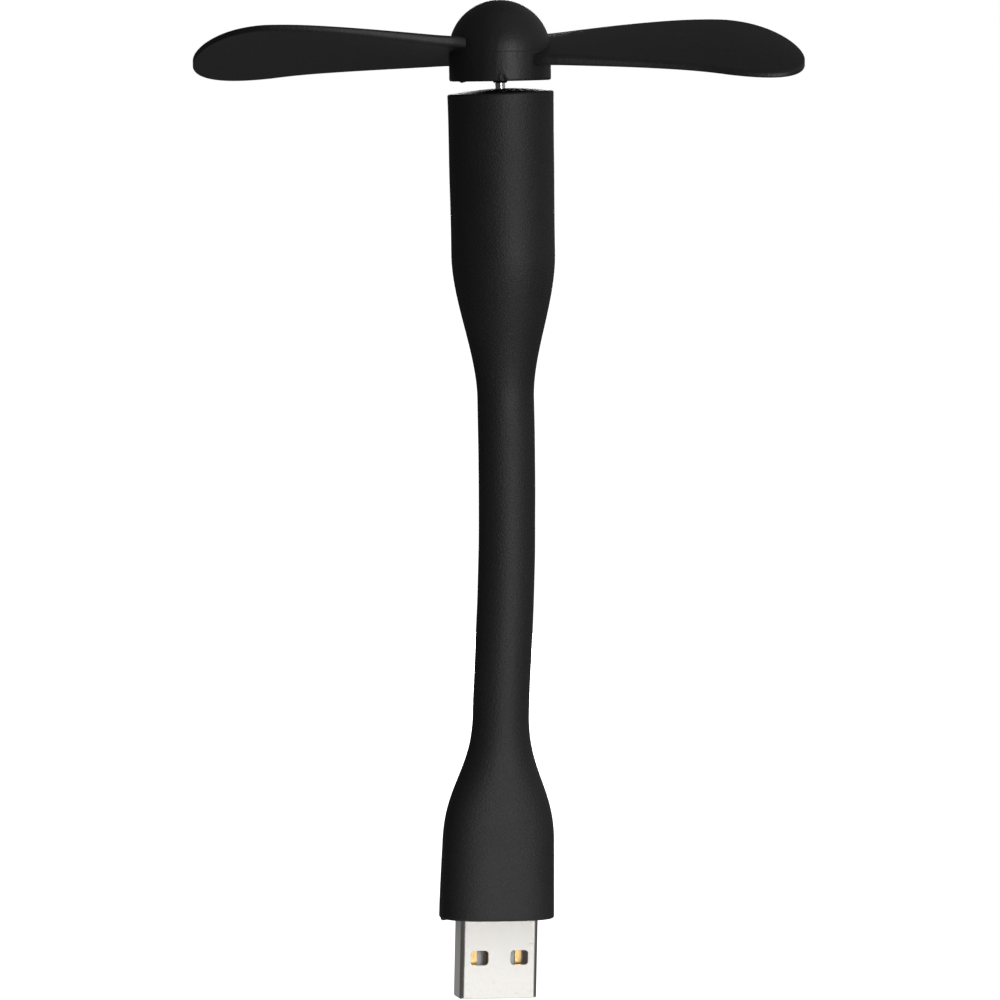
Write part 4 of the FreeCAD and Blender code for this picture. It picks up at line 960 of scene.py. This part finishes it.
def wire_tree():
    """A round wire along a line of edges: a circle swept along it, closed at both ends."""
    tree = bpy.data.node_groups.new("wire_along_route", "GeometryNodeTree")
    face = tree.interface
    face.new_socket("Geometry", in_out="INPUT", socket_type="NodeSocketGeometry")
    radius = face.new_socket("Radius", in_out="INPUT", socket_type="NodeSocketFloat")
    finish = face.new_socket("Finish", in_out="INPUT", socket_type="NodeSocketMaterial")
    face.new_socket("Geometry", in_out="OUTPUT", socket_type="NodeSocketGeometry")
    nodes, link = tree.nodes, tree.links.new
    given, result = nodes.new("NodeGroupInput"), nodes.new("NodeGroupOutput")
    route, circle = nodes.new("GeometryNodeMeshToCurve"), nodes.new("GeometryNodeCurvePrimitiveCircle")
    sweep, coat = nodes.new("GeometryNodeCurveToMesh"), nodes.new("GeometryNodeSetMaterial")
    real, even = nodes.new("GeometryNodeRealizeInstances"), nodes.new("GeometryNodeSetShadeSmooth")
    circle.inputs["Resolution"].default_value = WIRE_SIDES
    sweep.inputs["Fill Caps"].default_value = True
    link(given.outputs["Geometry"], route.inputs["Mesh"])
    link(given.outputs["Radius"], circle.inputs["Radius"])
    link(route.outputs["Curve"], sweep.inputs["Curve"])
    link(circle.outputs["Curve"], sweep.inputs["Profile Curve"])
    link(sweep.outputs["Mesh"], even.inputs["Geometry"])
    link(even.outputs["Geometry"], real.inputs["Geometry"])
    link(real.outputs["Geometry"], coat.inputs["Geometry"])
    link(given.outputs["Finish"], coat.inputs["Material"])
    link(coat.outputs["Geometry"], result.inputs["Geometry"])
    return tree, {"Radius": radius.identifier, "Finish": finish.identifier}


def lead_offset(distance, side):
    """How far a lead lies from the spine: wide at the plug, close in the neck, wide again at the motor."""
    gather = (distance - MOULD_HIGH.z - MM) / (6 * MM)
    spread = (distance - HEAD_FOOT - 0.45 * LEAD_TOP) / (0.3 * LEAD_TOP)
    offset = LEAD_OUTER + (LEAD_INNER - LEAD_OUTER) * smooth(gather)
    return side * (offset + (LEAD_SPREAD - LEAD_INNER) * smooth(spread))


def wires():
    """The bend wire and the two leads, in spans: one in the base, one a hinge, and one in the head."""
    tree, sockets = wire_tree()
    lead_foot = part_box("lead_positive")[0].z
    kinds = (
        ("bend_wire", "wire_steel", WIRE_RADIUS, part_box("bend_wire")[0].z, HEAD_FOOT + WIRE_TOP, 0),
        ("lead_positive", "lead_red", LEAD_RADIUS, lead_foot, HEAD_FOOT + LEAD_TOP, 1),
        ("lead_negative", "lead_black", LEAD_RADIUS, lead_foot, HEAD_FOOT + LEAD_TOP, -1),
    )
    for node, slot, radius, foot, top, side in kinds:
        ends = [foot, *(NECK_START + STEP * i for i in range(len(HINGES) + 1)), top]
        for index, (start, end) in enumerate(zip(ends, ends[1:])):
            count = max(4, round((end - start) / WIRE_POINT_STEP))
            points = []
            for i in range(count + 1):
                distance = start + (end - start) * i / count
                offset = lead_offset(distance, side) if side else 0.0
                points.append(spine_place(distance) @ Vector((offset, 0, 0)))
            mesh = bpy.data.meshes.new("route")
            mesh.from_pydata(points, [(i, i + 1) for i in range(count)], [])
            piece = bpy.data.objects.new(f"{node}_span_{index:02d}", mesh)
            bpy.context.scene.collection.objects.link(piece)
            modifier = piece.modifiers.new("Wire", "NODES")
            modifier.node_group = tree
            modifier[sockets["Radius"]] = radius
            modifier[sockets["Finish"]] = FINISHES[slot]
            shade(apply_modifiers(piece), 50)
            if index == 0:
                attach(piece, "base")
                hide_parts(node)
            elif index == len(ends) - 2:
                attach(piece, "head")
            else:
                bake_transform(piece)


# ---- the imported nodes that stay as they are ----


def finish_nodes():
    """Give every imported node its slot's finish."""
    for part in frame["record"]["subparts"]:
        node = frame["nodes"][part["node"]]
        node.data.materials.clear()
        node.data.materials.append(FINISHES[part["material_slot"]])


# ---- floor, light and camera ----


FLOOR_REACH = 6.0
FLOOR_LEVEL = PLUG_TIP - 0.03  # low enough to clear the blades with the neck bent right over
LANE_TURN = math.radians(14.6)  # the lane of light is turned about the fan by this much
LANE_HALF = (0.048, 0.31)  # half its width and half its length
LANE_NEAR, LANE_FAR, OUTSIDE_LANE = 0.80, 0.18, 0.04  # how brightly each part of the floor glows
NEAR_TO_FAR = 0.03  # half the run over which the near part gives way to the far one
LANE_EDGE = (0.85, 1.1)  # where it fades out, as shares of its half size


def floor():
    """A pale floor, white to the camera. It throws little back, but for a lane of light past the plug."""
    mesh = bpy.data.meshes.new("floor")
    signs = ((-1, -1), (1, -1), (1, 1), (-1, 1))
    corners = [(x * FLOOR_REACH, y * FLOOR_REACH, FLOOR_LEVEL) for x, y in signs]
    mesh.from_pydata(corners, [], [(0, 1, 2, 3)])
    piece = bpy.data.objects.new("floor", mesh)
    bpy.context.scene.collection.objects.link(piece)
    finish = Finish("floor_paper", Roughness=0.9, Specular_IOR_Level=0.1)
    place = finish.node("ShaderNodeTexCoord").outputs["Object"]
    across = finish.node("ShaderNodeMapping", {"vector_type": "TEXTURE"}, Vector=place)
    finish.put(across, Location=(0, 0, FLOOR_LEVEL), Rotation=(0, 0, LANE_TURN), Scale=(*LANE_HALF, 1))
    away = finish.node("ShaderNodeVectorMath", {"operation": "LENGTH"}, Vector=across.outputs[0])
    along = finish.node("ShaderNodeSeparateXYZ", Vector=across.outputs[0]).outputs["Y"]
    eased = {"interpolation_type": "SMOOTHSTEP"}
    level = finish.node("ShaderNodeMapRange", eased, Value=along)
    finish.put(level, From_Min=-NEAR_TO_FAR, From_Max=NEAR_TO_FAR, To_Min=LANE_NEAR, To_Max=LANE_FAR)
    lane = finish.node("ShaderNodeMapRange", eased, Value=away.outputs["Value"])
    finish.put(lane, From_Min=LANE_EDGE[0], From_Max=LANE_EDGE[1])
    finish.put(lane, To_Min=level.outputs[0], To_Max=OUTSIDE_LANE)
    seen = finish.node("ShaderNodeLightPath").outputs["Is Camera Ray"]
    glow = finish.node("ShaderNodeMix", Factor=seen)
    finish.tree.links.new(lane.outputs[0], glow.inputs[2])
    glow.inputs[3].default_value = 1.0
    finish.put(
        finish.shader,
        Base_Color=finish.mix(seen, (0.10, 0.10, 0.10, 1), (0.90, 0.90, 0.90, 1)),
        Emission_Color=(1, 1, 1, 1),
        Emission_Strength=glow.outputs[0],
    )
    mesh.materials.append(finish.material)


SKY_LEFT, SKY_RIGHT = 0.075, 0.33  # its strength to the fan's left and right


def sky():
    """White to the camera, and dim round the fan, a little brighter to its right, as in a dark studio."""
    world = bpy.data.worlds.new("studio")
    bpy.context.scene.world = world
    world.use_nodes = True
    tree = world.node_tree
    add, link = tree.nodes.new, tree.links.new
    shader = tree.nodes["Background"]
    way, split = add("ShaderNodeTexCoord"), add("ShaderNodeSeparateXYZ")
    fade, seen, pick = add("ShaderNodeMapRange"), add("ShaderNodeLightPath"), add("ShaderNodeMix")
    fade.interpolation_type = "SMOOTHSTEP"
    for name, value in (("From Min", 0.0), ("From Max", 1.0), ("To Min", SKY_LEFT), ("To Max", SKY_RIGHT)):
        fade.inputs[name].default_value = value
    link(way.outputs["Generated"], split.inputs[0])
    link(split.outputs["X"], fade.inputs["Value"])
    link(seen.outputs["Is Camera Ray"], pick.inputs[0])
    link(fade.outputs[0], pick.inputs[2])
    pick.inputs[3].default_value = 1.0
    link(pick.outputs[0], shader.inputs["Strength"])
    shader.inputs["Color"].default_value = (1, 1, 1, 1)


def toward(azimuth, elevation):
    """A direction from the fan: azimuth 0 is -Y and 90 is +X, in degrees."""
    a, e = math.radians(azimuth), math.radians(elevation)
    return Vector((math.sin(a) * math.cos(e), -math.cos(a) * math.cos(e), math.sin(e)))


# name, azimuth and elevation in degrees, distance in metres, width and height in metres, power in watts
SOFTBOXES = (
    ("key_light", 12, 3, 0.9, (0.28, 0.48), 3.7),
    ("top_light", 20, 70, 1.0, (0.8, 0.8), 0.5),
    ("back_light", 165, 4, 0.9, (0.22, 0.4), 3.0),
)


def softbox(name, azimuth, elevation, distance, size, power, middle):
    """A rectangular light that faces the fan's middle and isn't seen by the camera."""
    light = bpy.data.lights.new(name, "AREA")
    light.shape = "RECTANGLE"
    light.size, light.size_y = size
    light.energy = power
    lamp = bpy.data.objects.new(name, light)
    way = toward(azimuth, elevation)
    lamp.location = middle + way * distance
    lamp.rotation_euler = way.to_track_quat("Z", "Y").to_euler()
    lamp.visible_camera = False
    bpy.context.scene.collection.objects.link(lamp)


CAMERA_AZIMUTH, CAMERA_ELEVATION, CAMERA_ROLL = -14.6, 4.1, 1.2  # degrees
CAMERA_DISTANCE = 0.9
CAMERA_LENS = 214.9  # mm
CAMERA_AIM = Vector((1.42, 0.19, 0)) * MM  # right of and above the middle of the fan's box


def camera(middle):
    data = bpy.data.cameras.new("camera")
    data.lens = CAMERA_LENS
    data.clip_start, data.clip_end = 0.01, 50.0
    view = bpy.data.objects.new("camera", data)
    way = toward(CAMERA_AZIMUTH, CAMERA_ELEVATION)
    roll = Matrix.Rotation(math.radians(CAMERA_ROLL), 4, "Z")
    turn = way.to_track_quat("Z", "Y").to_matrix().to_4x4() @ roll
    aim = middle + turn.to_3x3() @ CAMERA_AIM
    view.matrix_world = Matrix.Translation(aim + way * CAMERA_DISTANCE) @ turn
    bpy.context.scene.collection.objects.link(view)
    bpy.context.scene.camera = view


def studio():
    middle = (cad_box[0] + cad_box[1]) / 2
    for box in SOFTBOXES:
        softbox(*box, middle)
    floor()
    sky()
    camera(middle)
    bpy.context.scene.view_settings.view_transform = "Standard"


finish_nodes()
base_skin()
neck_skins()
head_skin()
head_cap()
plug_shell()
propeller()
wires()
studio()

bpy.context.view_layer.update()
